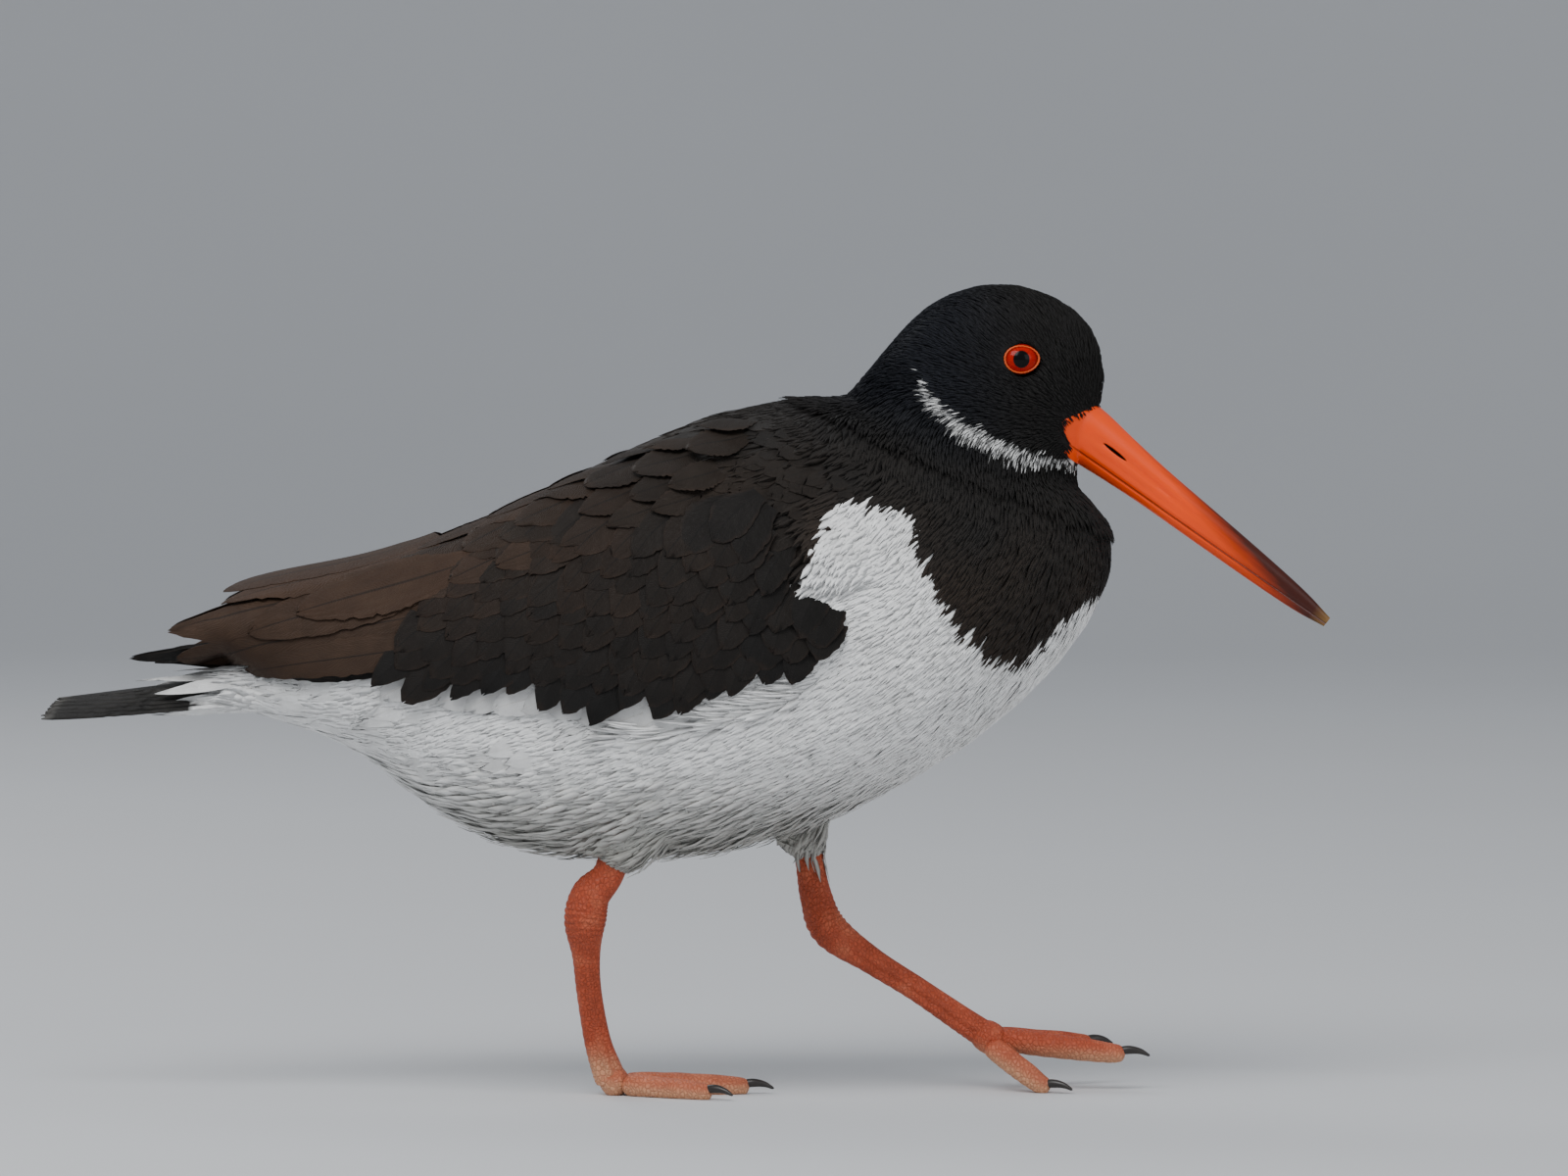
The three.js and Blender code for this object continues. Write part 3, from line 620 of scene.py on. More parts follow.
def build_groups():
    """The effects that several finishes share."""
    tree, given, out = group(
        "Mottle",
        {"Color": (1, 1, 1, 1), "Scale": 300.0, "Strength": 0.2, "Stretch": (1, 1, 1)},
        {"Color": "Color", "Mask": "Float"},
    )
    patches = cloud(tree, stretched(tree, object_place(tree), given["Stretch"]), given["Scale"], 5.0)
    swing = times(tree, minus(tree, patches, 0.5), given["Strength"])
    level = plus(tree, times(tree, swing, 2.0), 1.0)
    grey = add(tree, "ShaderNodeCombineColor", {0: level, 1: level, 2: level}).outputs[0]
    tree.links.new(mix_colour(tree, 1.0, given["Color"], grey, "MULTIPLY"), out["Color"])
    tree.links.new(patches, out["Mask"])

    tree, given, out = group(
        "Barbs", {"Lines": 60.0, "Slant": 0.7}, {"Height": "Float", "Edge": "Float", "Shaft": "Float"}
    )
    uv = add(tree, "ShaderNodeUVMap", uv_map="Vane").outputs[0]
    split = add(tree, "ShaderNodeSeparateXYZ", {0: uv}).outputs
    from_shaft = reckon(tree, "ABSOLUTE", minus(tree, split[0], 0.5))
    slanted = minus(tree, split[1], times(tree, from_shaft, given["Slant"]))
    line = plus(tree, times(tree, slanted, given["Lines"]), times(tree, cloud(tree, uv, 9.0, 3.0), 4.0))
    height = reckon(tree, "SINE", times(tree, line, 2 * math.pi))
    tree.links.new(times(tree, height, 0.5), out["Height"])
    edge, tip = fade(tree, from_shaft, 0.37, 0.5), fade(tree, split[1], 0.9, 1.0)
    tree.links.new(reckon(tree, "MAXIMUM", edge, tip), out["Edge"])
    tree.links.new(fade(tree, from_shaft, 0.03, 0.012), out["Shaft"])

    tree, given, out = group(
        "Scutes", {"Scale": 900.0, "Stretch": (1, 1, 1)}, {"Height": "Float", "Crease": "Float"}
    )
    place = stretched(tree, object_place(tree), given["Stretch"])
    cells = add(
        tree, "ShaderNodeTexVoronoi", {"Vector": place, "Scale": given["Scale"]}, feature="DISTANCE_TO_EDGE"
    ).outputs["Distance"]
    round_top = fade(tree, cells, 0.0, 0.22)
    tree.links.new(round_top, out["Height"])
    tree.links.new(minus(tree, 1.0, round_top), out["Crease"])


def use(tree, name, inputs):
    return add(tree, "ShaderNodeGroup", inputs, node_tree=bpy.data.node_groups[name]).outputs


def new_material(name, **constants):
    """A material, its tree and its Principled shader with plain values set."""
    material = bpy.data.materials.new(name)
    material.use_nodes = True
    shader = material.node_tree.nodes["Principled BSDF"]
    for key, value in constants.items():
        shader.inputs[key.replace("_", " ")].default_value = value
    return material, material.node_tree, shader


def dress(tree, shader, colour, height=None, distance=0.0, strength=0.0):
    """Gives a shader its colour, and its relief where there is a height."""
    tree.links.new(colour, shader.inputs["Base Color"])
    if height is not None:
        relief = add(tree, "ShaderNodeBump", {"Height": height, "Distance": distance, "Strength": strength})
        tree.links.new(relief.outputs[0], shader.inputs["Normal"])


def mottled_finish(name, colour, scale, strength, relief=(), **constants):
    """One colour, or each place's own plumage where none is given, with soft patches and fine relief."""
    material, tree, shader = new_material(name, **constants)
    tint = colour or carried(tree, "plumage")["Color"]
    tone = use(tree, "Mottle", {"Color": tint, "Scale": scale, "Strength": strength})
    height = (tone["Mask"], *relief) if relief else ()
    dress(tree, shader, tone["Color"], *height)
    return material


def small_feathers():
    """The finish of tufts, made once."""
    return bpy.data.materials.get("Small feathers") or mottled_finish(
        "Small feathers", None, 260.0, 0.22,
        Roughness=0.62, Sheen_Weight=0.03, Sheen_Roughness=0.5, Specular_IOR_Level=0.12,
    )


def vane_finish(name, fringe, fringe_share, shaft, lines):
    """Large feathers: barbs slanting from a shaft, and a worn fringe."""
    material, tree, shader = new_material(
        name, Roughness=0.58, Sheen_Weight=0.02, Sheen_Roughness=0.5, Specular_IOR_Level=0.13
    )
    tint = carried(tree, "plumage")["Color"]
    barbs = use(tree, "Barbs", {"Lines": lines, "Slant": 0.55})
    worn = use(tree, "Mottle", {"Color": tint, "Scale": 190.0, "Strength": 0.32})
    share = times(tree, barbs["Edge"], times(tree, fade(tree, worn["Mask"], 0.35, 0.65), fringe_share))
    colour = mix_colour(tree, share, worn["Color"], (*fringe, 1))
    colour = mix_colour(tree, times(tree, barbs["Shaft"], 0.6), colour, (*shaft, 1))
    dress(tree, shader, colour, barbs["Height"], 0.00012, 0.6)
    return material


def leg_finish(base, pale):
    """Scaly bare skin: creased scutes, paler where it is rubbed."""
    material, tree, shader = new_material(
        "Leg skin", Roughness=0.5, Specular_IOR_Level=0.3, Subsurface_Weight=0.08,
        Subsurface_Radius=(1.0, 0.3, 0.15), Subsurface_Scale=0.001,
    )
    scutes = use(tree, "Scutes", {"Scale": 980.0, "Stretch": (1, 1, 0.75)})
    patches = use(tree, "Mottle", {"Color": (*base, 1), "Scale": 140.0, "Strength": 0.5})
    rubbed = times(tree, fade(tree, patches["Mask"], 0.5, 0.75), 0.25)
    colour = mix_colour(tree, rubbed, patches["Color"], (*pale, 1))
    colour = mix_colour(tree, carried(tree, "pale")["Fac"], colour, (*pale, 1))
    creased = tuple(0.45 * c for c in base)
    colour = mix_colour(tree, times(tree, scutes["Crease"], 0.35), colour, (*creased, 1))
    dress(tree, shader, colour, scutes["Height"], 0.00025, 0.8)
    return material


# Sleeves: bill, legs, toes and claws are lofted from rings


def sleeve(name, rings, sides, place):
    """A closed tube drawn ring by ring. place(t, angle) gives a point in millimetres."""
    bm = bmesh.new()
    angle = bm.verts.layers.float.new("angle")
    step = bm.verts.layers.int.new("step")
    bmesh.ops.create_circle(bm, cap_ends=True, radius=1, segments=sides)
    for v in bm.verts:
        v[angle] = math.atan2(v.co.x, v.co.y)
    edges = bm.edges[:]
    for k in range(1, rings + 1):
        ring, edges = drawn_on(bm, edges)
        for v in ring:
            v[step] = k
    bmesh.ops.contextual_create(bm, geom=edges)
    for v in bm.verts:
        v.co = Vector(place(v[step] / rings, v[angle])) * MM
    bmesh.ops.recalc_face_normals(bm, faces=bm.faces)
    return as_object(name, bm)


def drawn_on(bm, edges):
    """Draws a chain of edges on, and returns the new vertices and edges at its front."""
    drawn = bmesh.ops.extrude_edge_only(bm, edges=edges)["geom"]
    ring = {g for g in drawn if isinstance(g, bmesh.types.BMVert)}
    front = [g for g in drawn if isinstance(g, bmesh.types.BMEdge) and all(v in ring for v in g.verts)]
    return ring, front


def as_object(name, bm):
    """A new object with a bmesh's faces, all shaded round."""
    mesh = bpy.data.meshes.new(name)
    for face in bm.faces:
        face.smooth = True
    bm.to_mesh(mesh)
    bm.free()
    obj = bpy.data.objects.new(name, mesh)
    bpy.context.scene.collection.objects.link(obj)
    return obj


def opened(*objects):
    """One bmesh of all the objects' meshes. The objects themselves go."""
    bm = bmesh.new()
    for obj in objects:
        bm.from_mesh(obj.data)
        bpy.data.objects.remove(obj)
    return bm


def apply_modifiers(obj):
    """Bakes an object's modifiers into its mesh."""
    graph = bpy.context.evaluated_depsgraph_get()
    mesh = bpy.data.meshes.new_from_object(obj.evaluated_get(graph))
    obj.modifiers.clear()
    obj.data = mesh
    return obj


# Settings


def a_length(name, description, default):
    return FloatProperty(name=name, description=description, default=default, unit="LENGTH")


def a_colour(name, description, *default):
    return FloatVectorProperty(name=name, description=description, default=default, subtype="COLOR")


class OystercatcherSizes(bpy.types.PropertyGroup):
    """Sizes of the coat and its tufts."""

    body_coat: a_length("Body coat", "Depth of the feathers over the body's skin", 1.05 * MM)
    head_coat: a_length("Head coat", "Depth of the feathers over the head's skin", 0.9 * MM)
    skin_step: a_length("Skin step", "Size of the skin's faces", 1.25 * MM)
    density: FloatProperty(
        name="Density", description="Share of the full number of tufts", default=1.0, min=0.05, max=1.5
    )
    seed: IntProperty(name="Seed", description="Start of every random draw", default=7)


class OystercatcherColours(bpy.types.PropertyGroup):
    """Colours of plumage and bare parts."""

    black: a_colour("Black", "Head, neck and back", 0.0120, 0.0113, 0.0107)
    blue_black: a_colour("Blue black", "Side of the neck", 0.006, 0.008, 0.014)
    brown: a_colour("Brown black", "Worn breast and wing feathers", 0.0235, 0.0160, 0.0112)
    chestnut: a_colour("Tertial brown", "Sun-worn long wing feathers", 0.050, 0.028, 0.0175)
    white: a_colour("White", "Belly, flank and shoulder", 0.83, 0.83, 0.82)
    # Grey of the low belly: painted shade from below, with some soiling
    shaded_white: a_colour("Shaded soiled white", "Low belly", 0.34, 0.335, 0.305)
    bill: a_colour("Bill", "Base of the bill", 0.96, 0.062, 0.0)
    bill_tip: a_colour("Bill tip", "Dusky horn near the tip", 0.016, 0.006, 0.0045)
    leg: a_colour("Leg", "Bare legs", 0.44, 0.075, 0.030)
    toe: a_colour("Toe edge", "Pale sides of the toes", 0.68, 0.34, 0.19)
    iris: a_colour("Iris", "Red of the eye", 0.25, 0.0025, 0.001)
    ring: a_colour("Eye ring", "Bare ring of the eye", 0.66, 0.085, 0.008)


class OystercatcherStage(bpy.types.PropertyGroup):
    """The floor, the lights and the camera."""

    key: FloatProperty(name="Key light", description="Power of the large light", default=36.0, unit="POWER")
    fill: FloatProperty(name="Fill light", description="Power of the fill light", default=7.0, unit="POWER")
    sky: FloatProperty(name="Surround", description="Brightness of the room", default=0.5)
    camera_distance: a_length("Camera distance", "From the bird's middle", 3.2)
    camera_height: FloatProperty(
        name="Camera angle", description="Above the horizon", default=math.radians(2.5), subtype="ANGLE"
    )


# Operators


class OYSTER_OT_camera(bpy.types.Operator):
    """Camera at the photograph's view: level, from the bird's right, with a long lens"""

    bl_idname = "oystercatcher.camera"
    bl_label = "Set camera"

    def execute(self, context):
        stage = context.scene.oystercatcher_stage
        centre, view_width = VIEW_CENTRE * MM, VIEW_WIDTH * MM
        data = bpy.data.cameras.new("photo_view")
        data.sensor_width = 36
        data.lens = data.sensor_width * stage.camera_distance / view_width
        camera = bpy.data.objects.new("photo_view", data)
        context.scene.collection.objects.link(camera)
        turn = stage.camera_height
        camera.location = centre + stage.camera_distance * Vector((0, -math.cos(turn), math.sin(turn)))
        camera.rotation_euler = (math.pi / 2 - turn, 0, 0)
        context.scene.camera = camera
        return {"FINISHED"}


class OYSTER_OT_skin(bpy.types.Operator):
    """One skin over body, neck, head and thighs, sunk by the coat's depth"""

    bl_idname = "oystercatcher.skin"
    bl_label = "Make skin"

    def execute(self, context):
        sizes = context.scene.oystercatcher_sizes
        skin_surface.cache_clear()
        bm = bmesh.new()
        for name in FLESH:
            bm.from_mesh(NODES[name].data)
        bmesh.ops.remove_doubles(bm, verts=bm.verts, dist=1e-6)
        obj = as_object("skin", bm)
        remesh = obj.modifiers.new("close_gaps", "REMESH")
        remesh.mode, remesh.voxel_size = "VOXEL", sizes.skin_step
        bm = opened(apply_modifiers(obj))
        self.keep_largest(bm)
        for _ in range(7):
            bmesh.ops.smooth_vert(
                bm, verts=bm.verts, factor=0.5, use_axis_x=True, use_axis_y=True, use_axis_z=True
            )
        bm.normal_update()
        points = np.array([v.co for v in bm.verts]) / MM
        depth = self.depth(points, sizes)
        for v, d in zip(bm.verts, depth):
            v.co -= v.normal * d
        obj = as_object("skin", bm)
        self.paint(obj, points)
        down = mottled_finish("Down", None, 700.0, 0.3, (0.0004, 0.6), Roughness=0.8, Specular_IOR_Level=0.2)
        finish_piece(obj, down, "body_plumage", *FLESH)
        return {"FINISHED"}

    def keep_largest(self, bm):
        """Removes the small closed bubbles that the gaps between nodes leave."""
        left, groups = set(bm.verts), []
        while left:
            queue, found = [left.pop()], set()
            while queue:
                v = queue.pop()
                found.add(v)
                for e in v.link_edges:
                    other = e.other_vert(v)
                    if other in left:
                        left.remove(other)
                        queue.append(other)
            groups.append(found)
        groups.sort(key=len, reverse=True)
        for small in groups[1:]:
            bmesh.ops.delete(bm, geom=list(small), context="VERTS")

    def depth(self, points, sizes):
        """How deep the skin lies: least at the bill, eyes and thighs."""
        head = ramp(-2, 16, above_neck(points))
        depth = mix(sizes.body_coat, sizes.head_coat, head)
        near_bill = np.linalg.norm(points - BILL_ROOT, axis=1)
        depth = depth * mix(0.45, 1.0, ramp(6, 20, near_bill))
        low = ramp(67, 61, points[:, 2])
        upper = on_thigh(points) * ramp(63, 68, points[:, 2])
        return mix(depth, 2.3 * MM, low) + 0.9 * MM * upper

    def paint(self, obj, points):
        """Stores the plumage colour on the skin."""
        mesh = obj.data
        tint = mesh.color_attributes.new("plumage", "FLOAT_COLOR", "POINT")
        rgba = np.ones((len(points), 4), np.float32)
        rgba[:, :3] = np.clip(coat_colour(points, np.zeros((len(points), 4))) * 0.9, 0, 1)
        tint.data.foreach_set("color", rgba.ravel())


def away_from_bare(points):
    """0 where bare parts leave no room for feathers: at the bill's root and in the eye's ring."""
    side = np.abs(points[:, 1])
    eye = np.hypot((points[:, 0] - EYE.x) / EYE_CLEAR[0], (points[:, 2] - EYE.z) / EYE_CLEAR[1])
    clear = np.where(side > 8, ramp(0.98, 1.02, eye), 1.0)
    s, up = bill_measures(points)
    bare = (s > BILL_ROOT_EDGE(up) - 0.4) & (np.abs(up) < 8.6)
    return np.where(bare, 0.0, clear)


def on_mantle(points):
    """1 on the dark back between the neck and the folded wings."""
    x, z = points[:, 0], points[:, 2]
    over = ramp(0, 4, z - SHOULDER_EDGE(x) - 3)
    return over * ramp(78, 72, x) * ramp(-64, -58, x) * ramp(-2, -8, above_neck(points))


def wedge_fringe(points):
    """1 along the white shoulder's lower edge, whose strands hang over the wing."""
    x, z = points[:, 0], points[:, 2]
    return ramp(50, 54, x) * ramp(76, 60, x) * ramp(139, 142, z) * ramp(158, 147, z)


def hidden_by_wing(points):
    """1 deep under the folded wings, where few feathers are needed."""
    x, z = points[:, 0], points[:, 2]
    over = ramp(2, 8, z - WING_EDGE(x))
    return over * ramp(58, 50, x) * ramp(-74, -66, x) * ramp(2, 8, BACK_LINE(x) - 12 - z)


class OYSTER_OT_body_coat(bpy.types.Operator):
    """White belly and flanks, black breast: tufts that lie back along the body"""

    bl_idname = "oystercatcher.body_coat"
    bl_label = "Grow body coat"

    def execute(self, context):
        sizes = context.scene.oystercatcher_sizes
        shape, finish, depth = tuft_shape(2), small_feathers(), sizes.body_coat / MM

        def density(low_x, high_x, amount):
            def read(p):
                inside = (p[:, 0] >= low_x) & (p[:, 0] < high_x) & (above_neck(p) < 1)
                bare = np.maximum(0.92 * hidden_by_wing(p), 0.85 * on_mantle(p))
                return amount * inside * (1 - bare)

            return read

        def size(points, random):
            rear = ramp(10, -70, points[:, 0])
            front = ramp(60, 100, points[:, 0])
            length = mix(mix(10.0, 15.0, rear), 7.0, front) * (1 + 0.25 * random[:, 2])
            width = mix(mix(2.1, 2.7, rear), 1.1, front) * (1 + 0.25 * random[:, 3])
            thigh, left = on_thigh(points), points[:, 1] > 0
            length = mix(length, np.where(left, 9.5, 6.5), thigh)
            width = mix(width, np.where(left, 1.5, 0.9), thigh)
            length = mix(length, 7.0, wedge_fringe(points)) * mix(1.0, 0.6, ramp(-80, -92, points[:, 0]))
            strand = wing_fringe(points) * (random[:, 1] > 0.2)
            width = mix(width, 0.6, strand)
            loose = 2.6 * ramp(95, 68, points[:, 2]) * np.clip(random[:, 0], 0, 1) ** 5
            tip = depth * (0.86 + 0.08 * random[:, 0]) + loose + wedge_fringe(points) * 1.7
            lift = mix(mix(tip, 3.3, strand), np.where(left, 1.5, 0.7), thigh)
            drawn_out = np.where(left & (thigh > 0), 0.35, 0.1)
            taper = mix(mix(0.5, 0.24, front), drawn_out, np.maximum(thigh, strand))
            return length, width, 0.2, lift, taper

        bands = [
            (-110, -45, 0.8), (-45, -5, 0.8), (-5, 30, 0.8), (30, 62, 0.85), (62, 88, 0.95), (88, 108, 1.0),
            (108, 140, 1.0),
        ]
        for i, band in enumerate(bands):
            grow(f"body_coat_{i + 1}", density(*band), i, shape, size, finish, "body_plumage")
        return {"FINISHED"}


class OYSTER_OT_plumes(bpy.types.Operator):
    """Long soft white plumes of the flanks, the vent and the tail's base"""

    bl_idname = "oystercatcher.plumes"
    bl_label = "Grow white plumes"

    def execute(self, context):
        depth = context.scene.oystercatcher_sizes.body_coat / MM
        finish = vane_finish("White plumes", (0.75, 0.75, 0.73), 0.3, (0.7, 0.69, 0.66), 36.0)

        def density(p):
            x, z = p[:, 0], p[:, 2]
            flank = (x > -80) & (x < 30) & (z < WING_EDGE(x) + 8) & (z > 84 - 0.1 * x)
            vent = (x <= -60) & (z < 118)
            return 0.03 * flank + 0.035 * vent

        def size(points, random):
            length = mix(22.0, 25.0, ramp(-50, -80, points[:, 0])) * (1 + 0.2 * random[:, 2])
            width = 5.5 * (1 + 0.2 * random[:, 3])
            return length, width, 0.2, depth * 0.82 + 0.3 * random[:, 0], 0.35

        grow("white_plumes", density, 50, vane_shape(8, 6), size, finish, "white_plumage", fray=0.22)
        return {"FINISHED"}


class OYSTER_OT_head_coat(bpy.types.Operator):
    """Short velvety feathers of head and neck, with the white collar"""

    bl_idname = "oystercatcher.head_coat"
    bl_label = "Grow head coat"

    def execute(self, context):
        shape, finish = tuft_shape(2), small_feathers()
        depth = context.scene.oystercatcher_sizes.head_coat / MM

        def size(points, random):
            high = ramp(0, 18, above_neck(points))
            face = ramp(24, 9, np.linalg.norm(points - BILL_ROOT, axis=1))
            side = np.abs(points[:, 1])
            eye = ramp(9, 5.5, np.hypot(points[:, 0] - EYE.x, points[:, 2] - EYE.z)) * (side > 8)
            near = np.maximum(face, eye)
            collar = ramp(7, 3, np.abs(points[:, 2] - COLLAR(points[:, 0]))) * ramp(0, 3, above_neck(points))
            length = mix(mix(6.5, 3.9, high), 1.9, near) * (1 + 0.2 * random[:, 2]) * (1 - 0.25 * collar)
            width = mix(mix(1.0, 0.62, high), 0.42, near) * (1 + 0.2 * random[:, 3]) * (1 - 0.35 * collar)
            lift = mix(mix(1.6, depth - 0.15, high), 0.32, near) * (1 + 0.2 * random[:, 0])
            return length, width, mix(0.45, 0.28, high), lift, 0.1

        def density(low, high, amount):
            def read(p):
                level = above_neck(p)
                clear = away_from_bare(p) * away_from_bare(p + 1.5 * unit(p - BILL_ROOT))
                return amount * (level >= low) * (level < high) * clear

            return read

        for i, band in enumerate([(0, 9, 1.5), (9, 19, 2.0), (19, 31, 2.1), (31, 60, 2.1)]):
            grow(f"head_coat_{i + 1}", density(*band), 20 + i, shape, size, finish, "black_plumage")

        def fringe(p):
            s, up = bill_measures(p)
            behind = BILL_ROOT_EDGE(up) - s
            return 2.6 * (behind > 0.35) * (behind < 1.7) * (np.abs(up) < 8.8)

        def bristle(points, random):
            return 1.7 + 0.5 * random[:, 2], 0.4, 0.25, 0.55 + 0.15 * random[:, 0], 0.1

        def forwards(points, normals):
            ahead = np.array((math.cos(BILL_SLOPE), 0, math.sin(BILL_SLOPE) - 0.2)) + 0.0 * points
            return unit(ahead - normals * np.sum(ahead * normals, axis=1, keepdims=True))

        grow("bill_fringe", fringe, 30, shape, bristle, finish, "black_plumage", lie_of=forwards)
        return {"FINISHED"}


class OYSTER_OT_mantle(bpy.types.Operator):
    """Rounded overlapping feathers of the mantle and the shoulders"""

    bl_idname = "oystercatcher.mantle"
    bl_label = "Grow mantle"

    def execute(self, context):
        black, brown = tones("black", "brown")
        finish = vane_finish("Mantle feathers", tuple(1.6 * brown), 0.25, tuple(0.8 * black), 30.0)

        def density(p):
            return 0.085 * on_mantle(p) * (p[:, 0] > -40)

        def size(points, random):
            rear = ramp(60, 0, points[:, 0])
            length = mix(9.0, 16.0, rear) * (1 + 0.15 * random[:, 2])
            width = mix(5.0, 8.0, rear) * (1 + 0.15 * random[:, 3])
            return length, width, 0.2, 0.95 + 0.25 * random[:, 0], 0.8

        grow("mantle", density, 40, vane_shape(6, 4), size, finish, "wing_plumage", fray=0.12)
        return {"FINISHED"}


def wing_vanes(name, rows, side, shape, material, seed):
    """Feathers on a folded wing. Each row holds the measures that are read here, then a colour."""
    rng = np.random.default_rng(seed)
    table = np.array([row[:10] for row in rows], float)
    x0, z0, down, length, width, bend, sunk, raised, tilt, tip = (column[:, None] for column in table.T)
    angle = np.radians(down)
    dx, dz = -np.cos(angle), -np.sin(angle)
    r, c = shape.r[None], shape.c[None]
    across = c * width / 2 * vane_width(r, tip) * ragged(shape, rng, len(rows), 0.13)
    back = length * (1 - r + frayed(shape, len(rows), 0.12) * 12 / length)
    droop = bend * (1 - r) * r * 4
    x = x0 - dx * back + dz * (across + droop)
    z = z0 - dz * back - dx * (across + droop)
    lift = mix(sunk, raised, ramp(0, 0.9, r)) + 0.12 * (1 - np.abs(c)) + tilt * (across / width)
    lift = lift + 0.15 * shape.f
    places = wing_surface(x, z, lift, side)
    soft = unit(wing_surface(x, z, lift + 1, side) - places).reshape(-1, 3)
    colours = np.array([row[10] for row in rows])[:, None] * (0.88 + 0.24 * rng.random((len(rows), 1, 1)))
    obj = joined(name, shape, places * MM, colours, *vane_maps(shape, len(rows)), soft, VANE_SOFTNESS)
    return finish_piece(obj, material, "wing_plumage")


class OYSTER_OT_wings(bpy.types.Operator):
    """Folded wings: coverts in rows, scapulars, tertials and primaries"""

    bl_idname = "oystercatcher.wings"
    bl_label = "Make wings"

    def execute(self, context):
        black, brown, chestnut, white = tones("black", "brown", "chestnut", "white")
        dark = vane_finish("Wing feathers", tuple(1.5 * chestnut), 0.2, tuple(0.6 * black), 42.0)
        pale = vane_finish("White wing feathers", (0.62, 0.62, 0.60), 0.3, (0.55, 0.53, 0.5), 42.0)
        small, long = vane_shape(16, 6), vane_shape(40, 8)
        for name, side in SIDES.items():
            rng = np.random.default_rng(context.scene.oystercatcher_sizes.seed + 60)
            coverts = self.coverts(rng, black, brown, chestnut)
            obj = wing_vanes(f"coverts_{name}", coverts, side, small, dark, 61)
            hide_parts(f"wing_{name}")
            longer = self.long_feathers(rng, black, brown, chestnut)
            wing_vanes(f"flight_{name}", longer, side, long, dark, 62)
            wing_vanes(f"secondaries_{name}", self.white_feathers(rng, white), side, small, pale, 63)
            wing_vanes(f"inner_{name}", self.inner_feathers(brown), side, small, dark, 64)
        return {"FINISHED"}

    def coverts(self, rng, black, brown, chestnut):
        """Rows from the wing's lower edge up to the shoulder feathers."""
        rows = []
        for level in range(9):
            above = 5.2 * level
            start, end = -64 + 3.2 * level, 60 - 2.2 * level - (8 if level > 4 else 0)
            count = int((end - start) / 7.0)
            for i in range(count):
                share = (i + 0.5 * (level % 2)) / count
                x = mix(start, end, share) + rng.uniform(-1.2, 1.2)
                down = mix(38, 68, share) - 1.6 * level + rng.uniform(-5, 5)
                z = WING_EDGE(x) + above + rng.uniform(-1.4, 1.4) * (2 if level == 0 else 1)
                length, sunk = mix(27, 17, share), mix(-0.6, -3.2, ramp(30, 44, x))
                if x > 40 and z + 0.6 * length > 137:
                    continue
                rear = 1 - share
                tone = mix(0.85 * black, brown, rng.uniform(0.0, 0.25) + 0.5 * rear * level / 8)
                tone = mix(tone, chestnut, 0.5 * rear * level / 8 * rng.random())
                tip = rng.uniform(0.15, 0.6) if level == 0 else 0.6
                rows.append((
                    x, z, down, length, rng.uniform(9.5, 12.5), 1.2, sunk, 1.1 + rng.uniform(0, 0.25),
                    rng.uniform(-0.55, -0.25), tip, tone,
                ))
        return rows

    def long_feathers(self, rng, black, brown, chestnut):
        """Scapulars over the top, tertials and the primaries' tips behind."""
        rows = []
        primaries = [
            (-129, 116.2, 3, 84, 7.5), (-122, 114.6, 3, 76, 7), (-114, 113.4, 3, 66, 7),
            (-104, 112.6, 4, 54, 7),
        ]
        for i, feather in enumerate(primaries):
            rows.append((*feather, -0.6, -0.4, -0.5 - 0.4 * i, 0.2, 0.25, black * 0.8))
        tertials = [
            (-98, 114.6, 8, 60, 10), (-116, 117.6, 10, 76, 11), (-118.5, 123.4, 14, 80, 12.5),
            (-97, 123.5, 16, 60, 12), (-84, 127.5, 18, 52, 12), (-104, 131.5, 18, 60, 14),
            (-104, 139, 18, 60, 15),
        ]
        for i, feather in enumerate(tertials):
            tone = mix(brown, chestnut, rng.uniform(0.5, 0.95))
            rows.append((*feather, -0.8, 0.2 + 0.2 * i, 1.3 + 0.45 * i, 0.5, 0.55, tone))
        for level in range(6):
            for i in range(9):
                x = -86 + 14 * i + 4 * level + rng.uniform(-3, 3)
                z = mix(124, 128, level / 4) + (x + 86) * 0.33 + 5.2 * level + rng.uniform(-1.5, 1.5)
                if x > 24 or z > HULL_TOP(x) + 4:
                    continue
                rear = ramp(15, -50, x)
                tone = mix(black, brown, rng.uniform(0.3, 0.9))
                tone = mix(tone, chestnut, (0.3 + 0.35 * rng.random()) * rear)
                length = mix(20, 40, rear) * rng.uniform(0.9, 1.1)
                down, raised = mix(24, 33, rng.random()), 1.25 + 0.07 * level + rng.uniform(0, 0.15)
                rows.append((
                    x, z, down, length, mix(8, 12, rear), -0.8, mix(-2.6, -0.8, rear), raised,
                    rng.uniform(-0.25, 0.1), 0.4, tone,
                ))
        return rows

    def inner_feathers(self, brown):
        """Layers deeper down, which fill the space between the two folded wings."""
        rows = []
        for layer in range(6):
            lift = -2.0 - 2.8 * layer
            for x, z in ((-97, 118), (-97, 124), (-93, 129)):
                rows.append((x + layer, z, 12, 36, 12, -0.6, lift, lift, 0.0, 0.5, brown * 0.8))
        return rows

    def white_feathers(self, rng, white):
        """The folded secondaries' white, which shows in patches under the coverts' edge."""
        rows = []
        for x in np.arange(-62, 6, 7.5):
            z = WING_EDGE(x) - 2.2 + rng.uniform(-1.2, 0.8)
            rows.append((x, z, mix(14, 30, rng.random()), 24, 9, 0.5, -2.0, -1.2, 0.0, 0.8, white * 0.8))
        return rows


